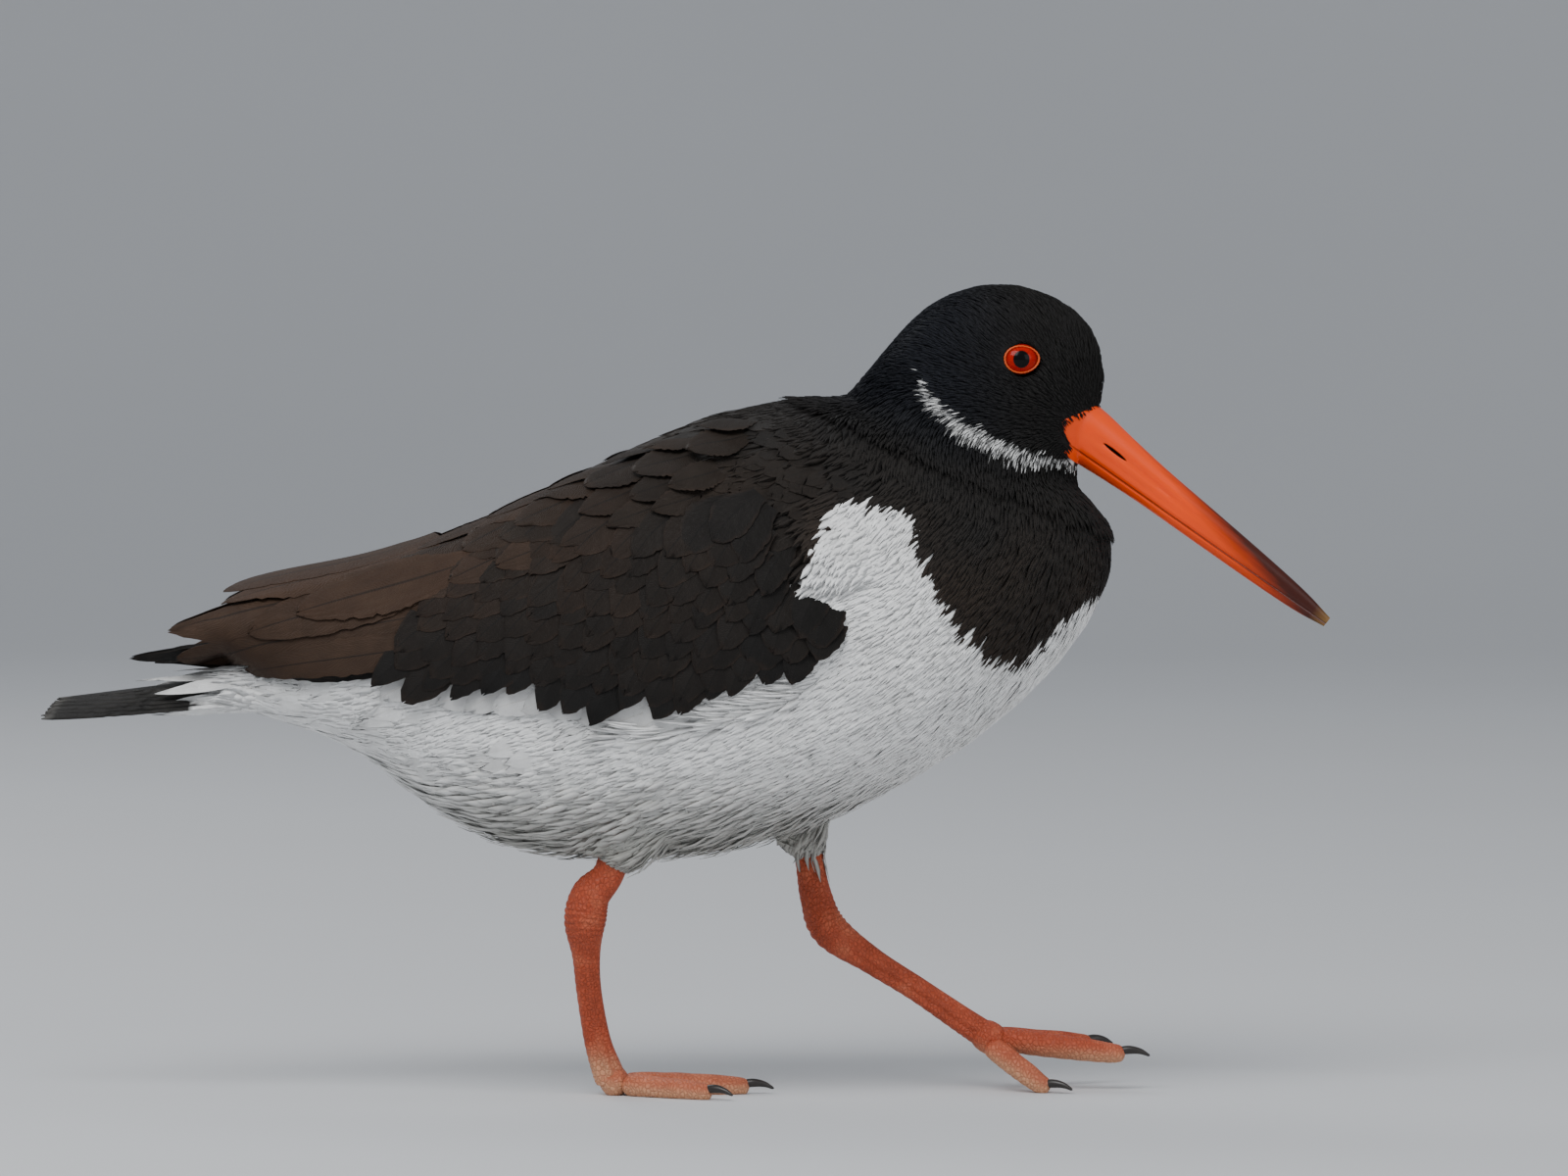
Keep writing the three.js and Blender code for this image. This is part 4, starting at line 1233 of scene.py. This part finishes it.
class OYSTER_OT_tail(bpy.types.Operator):
    """Twelve tail feathers, white at the base and black beyond"""

    bl_idname = "oystercatcher.tail"
    bl_label = "Make tail"

    def execute(self, context):
        black, white, worn = *tones("black", "white"), np.array((0.3, 0.29, 0.27))
        shape = vane_shape(44, 8)
        r, c = shape.r, shape.c
        root_x, root_z, tip_x, tip_z = -86.0, 113.2, (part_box("tail")[0] / MM).x, 105.4
        rng = np.random.default_rng(context.scene.oystercatcher_sizes.seed + 80)
        places, colours = [], []
        for i, side in itertools.product(range(6), (-1, 1)):
            far = (i + (0.2 if side < 0 else 0.6)) / 6
            width = 6.3 * vane_width(r, 0.75) * ragged(shape, rng, 1, 0.16)[0]
            pulled = frayed(shape, 1 + 2 * i + (side > 0), 0.03)[-1]
            x = root_x + (tip_x + 0.3 + 4.5 * (1 - far) - root_x) * (r - pulled)
            y = side * far * (3 + 10.5 * r) + c * width
            drop = far * (7.5 - 3.5 * r) + 0.004 * y * y
            drop = drop + 1.2 * (7.5 - 3.5 * r) / 6 * ((1 + side * c) / 2) ** 5 * ramp(0.05, 0.2, r)
            z = root_z + (tip_z - root_z) * r - drop + 0.2 * (1 - np.abs(c)) + 0.32 * shape.f
            places.append(np.stack([x, y, z], axis=1))
            start = mix(0.30, 0.42, far) + 0.02 * np.sin(9 * c + 5 * i)
            shade = mix(black * rng.uniform(1.0, 1.3), worn, (ramp(0.95, 1.0, r) * 0.35)[:, None])
            colours.append(mix(white, shade, ramp(start - 0.012, start + 0.012, r)[:, None]))
        places = np.array(places) * MM
        obj = joined("tail_feathers", shape, places, np.array(colours), *vane_maps(shape, len(places)))
        finish = vane_finish("Tail feathers", (0.20, 0.19, 0.17), 0.12, (0.05, 0.045, 0.04), 60.0)
        finish_piece(obj, finish, "tail_plumage", "tail")
        return {"FINISHED"}


class OYSTER_OT_bill(bpy.types.Operator):
    """Upper and lower mandible with groove, nostrils and dusky tip"""

    bl_idname = "oystercatcher.bill"
    bl_label = "Make bill"

    def execute(self, context):
        finish = self.finish()
        gape, end = bill_point(-6, -GAPE_DROP), bill_point(BILL_LENGTH + 4, -0.4)
        along = (end - gape).normalized()
        across = Vector((-along.z, 0, along.x))
        for name, keep in (("upper", 1), ("lower", -1)):
            bm = opened(sleeve(f"bill_{name}", 150, 72, self.place))
            geometry = bm.verts[:] + bm.edges[:] + bm.faces[:]
            cut = (gape + across * 0.03 * keep) * MM
            found = bmesh.ops.bisect_plane(
                bm, geom=geometry, plane_co=cut, plane_no=across * keep, clear_inner=True, dist=1e-7
            )
            rim = [g for g in found["geom_cut"] if isinstance(g, bmesh.types.BMEdge)]
            bmesh.ops.contextual_create(bm, geom=rim)
            obj = as_object(f"bill_{name}", bm)
            if keep > 0:
                self.nostrils(obj)
            self.sharpen(obj)
            finish_piece(obj, finish, "bill_horn", f"{name}_mandible")
        return {"FINISHED"}

    def place(self, t, angle):
        """A place on the whole bill. Its root dips into the face where the feathers begin."""
        share = math.copysign(abs(math.cos(angle)) ** 0.85, math.cos(angle))
        root = BILL_ROOT_EDGE(share * 8.2)
        out, inside = max(0.0, (t - BILL_SUNK) / (1 - BILL_SUNK)), max(0.0, 1 - t / BILL_SUNK)
        s = root + (BILL_LENGTH - root) * out**0.9 - 2.5 * inside
        up = BILL_HEIGHT(s) / 2 * share
        y = BILL_WIDTH(s) / 2 * math.sin(angle)
        spot = bill_point(s, up)
        start = Vector((spot.x, math.copysign(40, y), spot.z))
        hit = skin_surface().tree.ray_cast(start, Vector((0, -math.copysign(1, y), 0)))[0]
        mouth = mix(-GAPE_DROP, -0.4, (s + 6) / (BILL_LENGTH + 10))
        deep = ramp(-1, 5, s) * ramp(44, 26, s)
        groove = np.interp(s, [0, 12, 40], [0.6, 1.0, 0.4])
        dent = 0.5 * deep * hump(up, groove, 0.75) + 0.3 * deep * hump(up, 0.03 * s - 2.2, 0.4)
        dent += 0.35 * ramp(-4, 0, s) * hump(up, mouth, 0.35)
        out_by = max(0.0, abs(y) - dent)
        if hit is not None and abs(math.sin(angle)) > 0.02:
            on_face = abs(hit.y) + 0.3 - 1.6 * inside
            out_by = (out_by + on_face + math.hypot(out_by - on_face, 0.7)) / 2 - 0.1
        return bill_point(s, up, math.copysign(out_by, y))

    def nostrils(self, obj):
        """Cuts a slit on each side."""
        half_long, half_high = NOSTRIL_CUT
        for side in SIDES.values():
            bm = bmesh.new()
            place = Matrix.Translation(bill_point(*NOSTRIL, side * 4.6) * MM)
            turn = Matrix.Rotation(-BILL_SLOPE, 4, "Y")
            size = Matrix.Diagonal((half_long * MM, 1.9 * MM, half_high * MM, 1))
            bmesh.ops.create_uvsphere(bm, u_segments=24, v_segments=12, radius=1, matrix=place @ turn @ size)
            slit = as_object("nostril_cut", bm)
            cut = obj.modifiers.new("nostril", "BOOLEAN")
            cut.operation, cut.solver, cut.object = "DIFFERENCE", "EXACT", slit
            apply_modifiers(obj)
            bpy.data.objects.remove(slit)

    def sharpen(self, obj):
        """Keeps the bill's cutting edges crisp while its sides stay smooth."""
        bm = bmesh.new()
        bm.from_mesh(obj.data)
        for edge in bm.edges:
            edge.smooth = not (len(edge.link_faces) == 2 and edge.calc_face_angle(0) > math.radians(40))
        for face in bm.faces:
            face.smooth = True
        bm.to_mesh(obj.data)
        bm.free()

    def finish(self):
        """Orange-red horn that turns dusky over its outer half and pale at the very tip, with painted shade
        along the mouth line and in the nostrils.
        """
        given = bpy.context.scene.oystercatcher_colours
        material, tree, shader = new_material(
            "Bill horn", Roughness=0.32, Specular_IOR_Level=0.3, Subsurface_Weight=0.08,
            Subsurface_Radius=(1.0, 0.25, 0.08), Subsurface_Scale=0.0015,
        )
        root = tuple(-c * MM for c in (BILL_AT[0], 0, BILL_AT[1]))
        start = {"Vector": object_place(tree), "Location": root}
        moved = add(tree, "ShaderNodeMapping", start, vector_type="POINT").outputs[0]
        slope = {"Vector": moved, "Axis": (0, 1, 0), "Angle": BILL_SLOPE}
        turned = add(tree, "ShaderNodeVectorRotate", slope, rotation_type="AXIS_ANGLE").outputs[0]
        s, _, up = add(tree, "ShaderNodeSeparateXYZ", {0: turned}).outputs
        grain = cloud(tree, stretched(tree, turned, (60, 900, 900)), 1.0, 4.0)
        wander = times(tree, minus(tree, grain, 0.5), 0.016)
        reach = plus(tree, plus(tree, s, wander), times(tree, up, 5.0))
        # The mouth line between the mandibles is painted dark: painted shade in the slit
        mouth = add(
            tree, "ShaderNodeMapRange", {0: s, 1: -0.006, 2: 0.0845, 3: -GAPE_DROP * MM, 4: -0.0004}
        ).outputs[0]
        from_mouth = reckon(tree, "ABSOLUTE", minus(tree, up, mouth))
        line = times(tree, fade(tree, from_mouth, 0.00035, 0.00008), fade(tree, s, -0.004, 0.001))
        # Distance from each nostril, for the painted shade in its hollow
        parts = []
        for value, middle, half in zip((s, up), NOSTRIL, NOSTRIL_SHADE):
            part = reckon(tree, "DIVIDE", minus(tree, value, middle * MM), half * MM)
            parts.append(reckon(tree, "POWER", reckon(tree, "ABSOLUTE", part), 2.0))
        colour = (*given.bill, 1)
        for share, over in (
            (times(tree, grain, 0.35), (0.86, 0.11, 0.004)),
            (fade(tree, s, 0.03, 0.07), (0.50, 0.045, 0.004)),
            (times(tree, fade(tree, reach, 0.042, 0.067), 0.93), given.bill_tip),
            (times(tree, fade(tree, s, 0.0755, 0.081), 0.7), (0.30, 0.17, 0.05)),
            (times(tree, line, 0.75), (0.10, 0.012, 0.003)),
            (fade(tree, plus(tree, *parts), 1.1, 0.7), (0.02, 0.003, 0.002)),
        ):
            colour = mix_colour(tree, share, colour, (*over, 1))
        dress(tree, shader, colour, grain, 0.00012, 0.35)
        return material


class OYSTER_OT_eyes(bpy.types.Operator):
    """Red eyes with black pupils in bare orange rings"""

    bl_idname = "oystercatcher.eyes"
    bl_label = "Make eyes"

    def execute(self, context):
        given = context.scene.oystercatcher_colours
        fleshy = mottled_finish(
            "Eye ring", (*given.ring, 1), 1400.0, 0.35, (0.0001, 0.5),
            Roughness=0.4, Subsurface_Weight=0.1, Subsurface_Scale=0.0006,
        )
        for name, side in SIDES.items():
            centre = Vector((EYE.x, side * EYE.y, EYE.z)) * MM
            bm = bmesh.new()
            turn = Matrix.Rotation(-side * EYE_TILT, 4, "Z")
            oval = Matrix.Diagonal((EYE_LONG / EYE_DEEP, 1, EYE_HIGH / EYE_DEEP, 1))
            place = Matrix.Translation(centre) @ turn @ oval
            bmesh.ops.create_uvsphere(bm, u_segments=64, v_segments=48, radius=EYE_DEEP * MM, matrix=place)
            ball = as_object(f"eyeball_{name}", bm)
            finish_piece(ball, self.finish(f"Eye {name}", centre, given.iris), "iris", f"eye_{name}")
            ring = self.ring(f"eye_ring_{name}", centre, side)
            finish_piece(ring, fleshy, "eye_ring", f"eyelid_{name}")
        return {"FINISHED"}

    def ring(self, name, centre, side):
        """A narrow fleshy ring, drawn by spinning a round section about the eye's outward axis."""
        bm = bmesh.new()
        middle, out, thick = 4.45 * MM, 2.45 * MM, 0.28 * MM
        section = bmesh.ops.create_circle(bm, radius=thick, segments=12)["verts"]
        for v in section:
            v.co = Vector((middle + v.co.x, side * (out + 1.3 * v.co.y), 0))
        bmesh.ops.spin(
            bm, geom=bm.verts[:] + bm.edges[:], cent=(0, 0, 0), axis=(0, 1, 0), angle=2 * math.pi, steps=72,
            use_merge=True,
        )
        bmesh.ops.remove_doubles(bm, verts=bm.verts, dist=1e-6)
        for v in bm.verts:
            turn = math.atan2(v.co.z, v.co.x)
            crimp = 1 + 0.012 * math.sin(26 * turn) + 0.02 * math.sin(3 * turn + 1)
            flat = Vector((v.co.x * 1.03 * crimp, v.co.y, v.co.z * 0.79 * crimp))
            v.co = Matrix.Rotation(-side * EYE_TILT, 3, "Z") @ flat + centre
        bmesh.ops.recalc_face_normals(bm, faces=bm.faces)
        return as_object(name, bm)

    def finish(self, name, centre, iris):
        """Pupil, iris with fine rays and a dark rim, under a wet coat."""
        material, tree, shader = new_material(
            name, Roughness=0.25, Specular_IOR_Level=0.05, Coat_Weight=0.2, Coat_Roughness=0.02
        )
        middle = {0: object_place(tree), 1: tuple(centre + Vector((0.4 * MM, 0, 0)))}
        local = add(tree, "ShaderNodeVectorMath", middle, operation="SUBTRACT").outputs[0]
        local = stretched(tree, local, (1, 0, 0.94))
        far = add(tree, "ShaderNodeVectorMath", {0: local}, operation="LENGTH").outputs["Value"]
        parts = add(tree, "ShaderNodeSeparateXYZ", {0: local}).outputs
        turn = times(tree, reckon(tree, "ARCTAN2", parts[2], parts[0]), 7.0)
        rays = {"W": turn, "Scale": 1.0, "Detail": 3.0}
        rays = add(tree, "ShaderNodeTexNoise", rays, noise_dimensions="1D").outputs["Fac"]
        red = mix_colour(tree, rays, (*iris, 1), (0.50, 0.010, 0.0015, 1))
        rim = times(tree, fade(tree, far, 0.0032, 0.0046), 0.75)
        red = mix_colour(tree, rim, red, (0.05, 0.002, 0.002, 1))
        pupil = fade(tree, far, 0.00225, 0.00208)
        dress(tree, shader, mix_colour(tree, pupil, red, (0.002, 0.002, 0.002, 1)))
        return material


# Legs in millimetres: x, y, z, half width and half depth fore and aft, as the frame has them
LEGS = {
    "right": {
        "leg": [
            (1.5, -18.5, 70, 3.8, 4.4), (-1.6, -18, 60, 3.4, 4.1), (-6.4, -17, 54, 3.9, 5.2),
            (-7.9, -15.8, 47, 4, 5.4), (-7.6, -13, 38, 3, 3.7), (-6.9, -9.5, 28, 2.6, 3.3),
            (-4.8, -5, 15, 2.9, 3.5), (-2.4, -2.6, 7.2, 3.5, 4.0),
            (-0.8, -1.6, 3.2, 4.0, 4.2),
        ],
        "foot": [(-4.4, -1.5, 3.3, 3.2, 2.9), (-0.8, -1.5, 3.5, 4.8, 4.4), (3.6, -1.3, 3.1, 4.6, 3.8)],
        "inner": [(2, 0.4, 2.8, 2.9, 2.9), (11, 5.2, 2.5, 2.9, 2.9), (21, 10.4, 2.1, 2.4, 2.5),
                  (24.5, 12, 1.7, 1.4, 1.7)],
        "middle": [(3, -1.3, 3, 3.2, 3.1), (16, -0.6, 2.6, 3.1, 3.1), (31, 0.4, 2.2, 2.6, 2.6),
                   (35.5, 0.7, 1.7, 1.5, 1.7)],
        "outer": [(2, -3.2, 2.8, 2.9, 2.9), (12, -9.6, 2.5, 2.9, 2.9), (22, -15.6, 2.1, 2.4, 2.5),
                  (25.5, -17.6, 1.7, 1.4, 1.7)],
    },
    "left": {
        "leg": [
            (50, 19.4, 74, 3.6, 4.2), (51.6, 19, 61, 3.2, 3.8), (53.4, 18.4, 51, 3.3, 4.3),
            (57, 17.6, 42.5, 3.9, 4.9), (68, 16.6, 34.5, 3.1, 3.6), (80, 15.4, 27, 2.6, 3.3),
            (91, 14.4, 19.6, 2.8, 3.5), (97.4, 13.8, 15.4, 3.3, 3.7),
            (101.5, 13.6, 12.8, 3.8, 3.8),
        ],
        "foot": [(94.6, 14.2, 17.4, 3.2, 3.3), (99.2, 13.8, 14.2, 4, 4.4), (103.6, 13.4, 11.8, 3.8, 3.8)],
        "inner": [(99, 11.4, 12.6, 2.8, 2.8), (106, 7.6, 7.4, 2.9, 3), (112.6, 4.8, 2.6, 2.5, 2.6),
                  (115.4, 3.6, 1.3, 1.5, 1.7)],
        "middle": [(101, 13.8, 13.8, 3, 3.1), (115, 13.8, 12, 3, 3.2), (131, 13.8, 10, 2.6, 2.7),
                   (135.8, 13.8, 9.4, 1.5, 1.7)],
        "outer": [(100, 16, 14, 2.8, 2.9), (112, 21.6, 12.6, 2.8, 3), (123.5, 27, 11.6, 2.4, 2.5),
                  (127, 28.6, 11.2, 1.4, 1.6)],
    },
}


def knot_curves(knots):
    """Smooth curves through a limb's knots, over 0 to 1."""
    at = np.linspace(0, 1, len(knots))
    return [smooth(list(zip(at, column))) for column in zip(*knots)]


def limb(name, knots, rings, sides, swell, blunt=0.06):
    """A limb along its knots. swell(t, angle) widens it for joints, pads and scutes."""
    x, y, z, wide, deep = knot_curves(knots)

    def place(t, angle):
        here = Vector((x(t), y(t), z(t)))
        before, after = max(0.0, t - 0.01), min(1.0, t + 0.01)
        ahead = Vector([c(after) - c(before) for c in (x, y, z)]).normalized()
        across = (Vector((0, 1, 0)) - ahead * ahead.y).normalized()
        fore = across.cross(ahead)
        to_end = min(t, 1 - t) / blunt
        close = math.sqrt(max(0.0, 1 - (1 - min(1.0, to_end)) ** 2))
        grow_by = swell(t, angle) * max(0.05, close)
        spot = here + across * wide(t) * math.sin(angle) * grow_by
        spot = spot + fore * deep(t) * math.cos(angle) * grow_by
        spot.z = max(spot.z, 0.02)
        return spot

    return sleeve(name, rings, sides, place)


class OYSTER_OT_legs(bpy.types.Operator):
    """Scaly legs and toes, and dark claws"""

    bl_idname = "oystercatcher.legs"
    bl_label = "Make legs"

    def execute(self, context):
        given = context.scene.oystercatcher_colours
        scaly = leg_finish(given.leg, given.toe)
        horn = mottled_finish(
            "Claw horn", (0.022, 0.018, 0.016, 1), 500.0, 0.5, (0.0001, 0.4),
            Roughness=0.35, Specular_IOR_Level=0.5,
        )
        for side in SIDES:
            plan = LEGS[side]
            leg = limb(f"shank_{side}", plan["leg"], 260, 48, self.shank)
            foot = limb("foot", plan["foot"], 40, 40, lambda t, a: 1.0, 0.4)
            toes = [limb("toe", plan[toe], 100, 28, self.toe, 0.09) for toe in TOES]
            obj = as_object(f"leg_{side}", opened(leg, foot, *toes))
            self.paint(obj)
            nodes = [f"{part}_{side}" for part in ("tibia", "tarsus", "foot")]
            nodes += [f"toe_{toe}_{side}" for toe in TOES]
            finish_piece(obj, scaly, "leg_skin", *nodes)
            for toe in TOES:
                obj = self.claw(f"nail_{toe}_{side}", plan[toe])
                finish_piece(obj, horn, "claw_horn", f"claw_{toe}_{side}")
        return {"FINISHED"}

    def shank(self, t, angle):
        """Wrinkles at the ankle, scute ridges in front below it."""
        side, front = abs(angle), max(0.0, math.cos(angle)) ** 2
        ankle, above = hump(t, 0.34, 0.08), ramp(0.3, 0.1, t)
        below = ramp(0.40, 0.5, t) * ramp(0.96, 0.86, t)
        wrinkle = 0.035 * ankle * math.sin(250 * t + 1.5 * math.sin(3 * angle))
        knob = 0.13 * ankle * hump(side, 1.5, 0.5)
        scutes = 0.035 * front * (1 - ankle) * abs(math.sin(110 * t))
        groove = 0.2 * hump(side, 1.25, 0.28) * below + 0.14 * hump(side, 2.2, 0.25) * below
        return 1 + wrinkle + knob + scutes - groove - 0.14 * hump(side, 1.6, 0.35) * above

    def toe(self, t, angle):
        """Plates over the top and soft pads below."""
        top = max(0.0, math.cos(angle)) ** 1.5
        pads = 0.05 * math.sin(math.pi * 3 * t) ** 2 * max(0.0, -math.cos(angle))
        return 1 + 0.035 * top * abs(math.sin(34 * t)) + pads

    def paint(self, obj):
        """Marks where the skin is paler: low on the toes."""
        mesh = obj.data
        z = read_vectors(mesh.vertices, "co")[:, 2] / MM
        down = read_vectors(mesh.vertices, "normal")[:, 2]
        pale = 0.8 * ramp(15, 6, z) * ramp(0.5, -0.5, down) + 0.25 * ramp(14, 7, z)
        layer = mesh.attributes.new("pale", "FLOAT", "POINT")
        layer.data.foreach_set("value", pale.astype(np.float32))

    def claw(self, name, knots):
        """A short curved nail past a toe's last knot."""
        before, last = (Vector(k[:3]) for k in knots[-2:])
        ahead = last - before
        ahead.z = 0
        ahead.normalize()
        stations = [(-2.5, 0.9, 1.1), (1, 1.3, 1.15), (4, 0.9, 0.8), (6.6, -0.3, 0.3)]
        path = [(*(last + ahead * f + Vector((0, 0, up))), size, size) for f, up, size in stations]
        return limb(name, path, 30, 20, lambda t, angle: 1.0)


class OYSTER_OT_stage(bpy.types.Operator):
    """Pale floor that turns up into a backdrop, and soft lights"""

    bl_idname = "oystercatcher.stage"
    bl_label = "Set stage"

    def execute(self, context):
        stage = context.scene.oystercatcher_stage
        bm = bmesh.new()
        edges = [bm.edges.new([bm.verts.new((x, -6.0, 0)) for x in (-7.0, 7.0)])]
        profile = [(2.4, 0)] + [
            (2.4 + 1.6 * math.sin(a), 1.6 - 1.6 * math.cos(a)) for a in np.linspace(0.12, math.pi / 2, 14)
        ] + [(4.0, 5.0)]
        for y, z in profile:
            rail, edges = drawn_on(bm, edges)
            for v in rail:
                v.co.y, v.co.z = y, z
        bmesh.ops.recalc_face_normals(bm, faces=bm.faces)
        floor = as_object("studio_floor", bm)
        paper = mottled_finish("Studio paper", (0.62, 0.63, 0.645, 1), 3.0, 0.03, Roughness=0.75)
        floor.data.materials.append(paper)
        self.light(context, "key", (-0.5, -1.3, 1.7), 1.3, stage.key)
        self.light(context, "fill", (1.6, -1.2, 0.7), 1.2, stage.fill)
        self.light(context, "back", (-0.9, 1.3, 1.3), 0.9, stage.fill * 1.2)
        world = bpy.data.worlds.new("Studio room")
        world.use_nodes = True
        background = world.node_tree.nodes["Background"]
        background.inputs["Color"].default_value = (0.80, 0.84, 0.90, 1)
        background.inputs["Strength"].default_value = stage.sky
        context.scene.world = world
        return {"FINISHED"}

    def light(self, context, name, place, size, power):
        data = bpy.data.lights.new(name, "AREA")
        data.size, data.energy = size, power
        lamp = bpy.data.objects.new(name, data)
        lamp.location = place
        aim = Vector((0.03, 0, 0.11)) - Vector(place)
        lamp.rotation_euler = aim.to_track_quat("-Z", "Y").to_euler()
        context.scene.collection.objects.link(lamp)


class OYSTER_PT_panel(bpy.types.Panel):
    """Lists the steps and settings in the sidebar"""

    bl_idname = "OYSTER_PT_panel"
    bl_label = "Oystercatcher"
    bl_space_type = "VIEW_3D"
    bl_region_type = "UI"
    bl_category = "Oystercatcher"

    def draw(self, context):
        for operator in OPERATORS:
            self.layout.operator(operator.bl_idname)
        for settings in ("oystercatcher_sizes", "oystercatcher_colours", "oystercatcher_stage"):
            values = getattr(context.scene, settings)
            for name in values.__annotations__:
                self.layout.prop(values, name)


SETTINGS = {
    "oystercatcher_sizes": OystercatcherSizes,
    "oystercatcher_colours": OystercatcherColours,
    "oystercatcher_stage": OystercatcherStage,
}
OPERATORS = (
    OYSTER_OT_camera, OYSTER_OT_skin, OYSTER_OT_body_coat, OYSTER_OT_plumes, OYSTER_OT_head_coat,
    OYSTER_OT_mantle, OYSTER_OT_wings, OYSTER_OT_tail, OYSTER_OT_bill, OYSTER_OT_eyes, OYSTER_OT_legs,
    OYSTER_OT_stage,
)


def register():
    for cls in (*SETTINGS.values(), *OPERATORS, OYSTER_PT_panel):
        bpy.utils.register_class(cls)
    for name, cls in SETTINGS.items():
        setattr(bpy.types.Scene, name, PointerProperty(type=cls))


def unregister():
    for name in SETTINGS:
        delattr(bpy.types.Scene, name)
    for cls in reversed((*SETTINGS.values(), *OPERATORS, OYSTER_PT_panel)):
        bpy.utils.unregister_class(cls)


def main():
    register()
    build_groups()
    for operator in OPERATORS:
        category, name = operator.bl_idname.split(".")
        getattr(getattr(bpy.ops, category), name)()


if __name__ == "__main__":
    main()
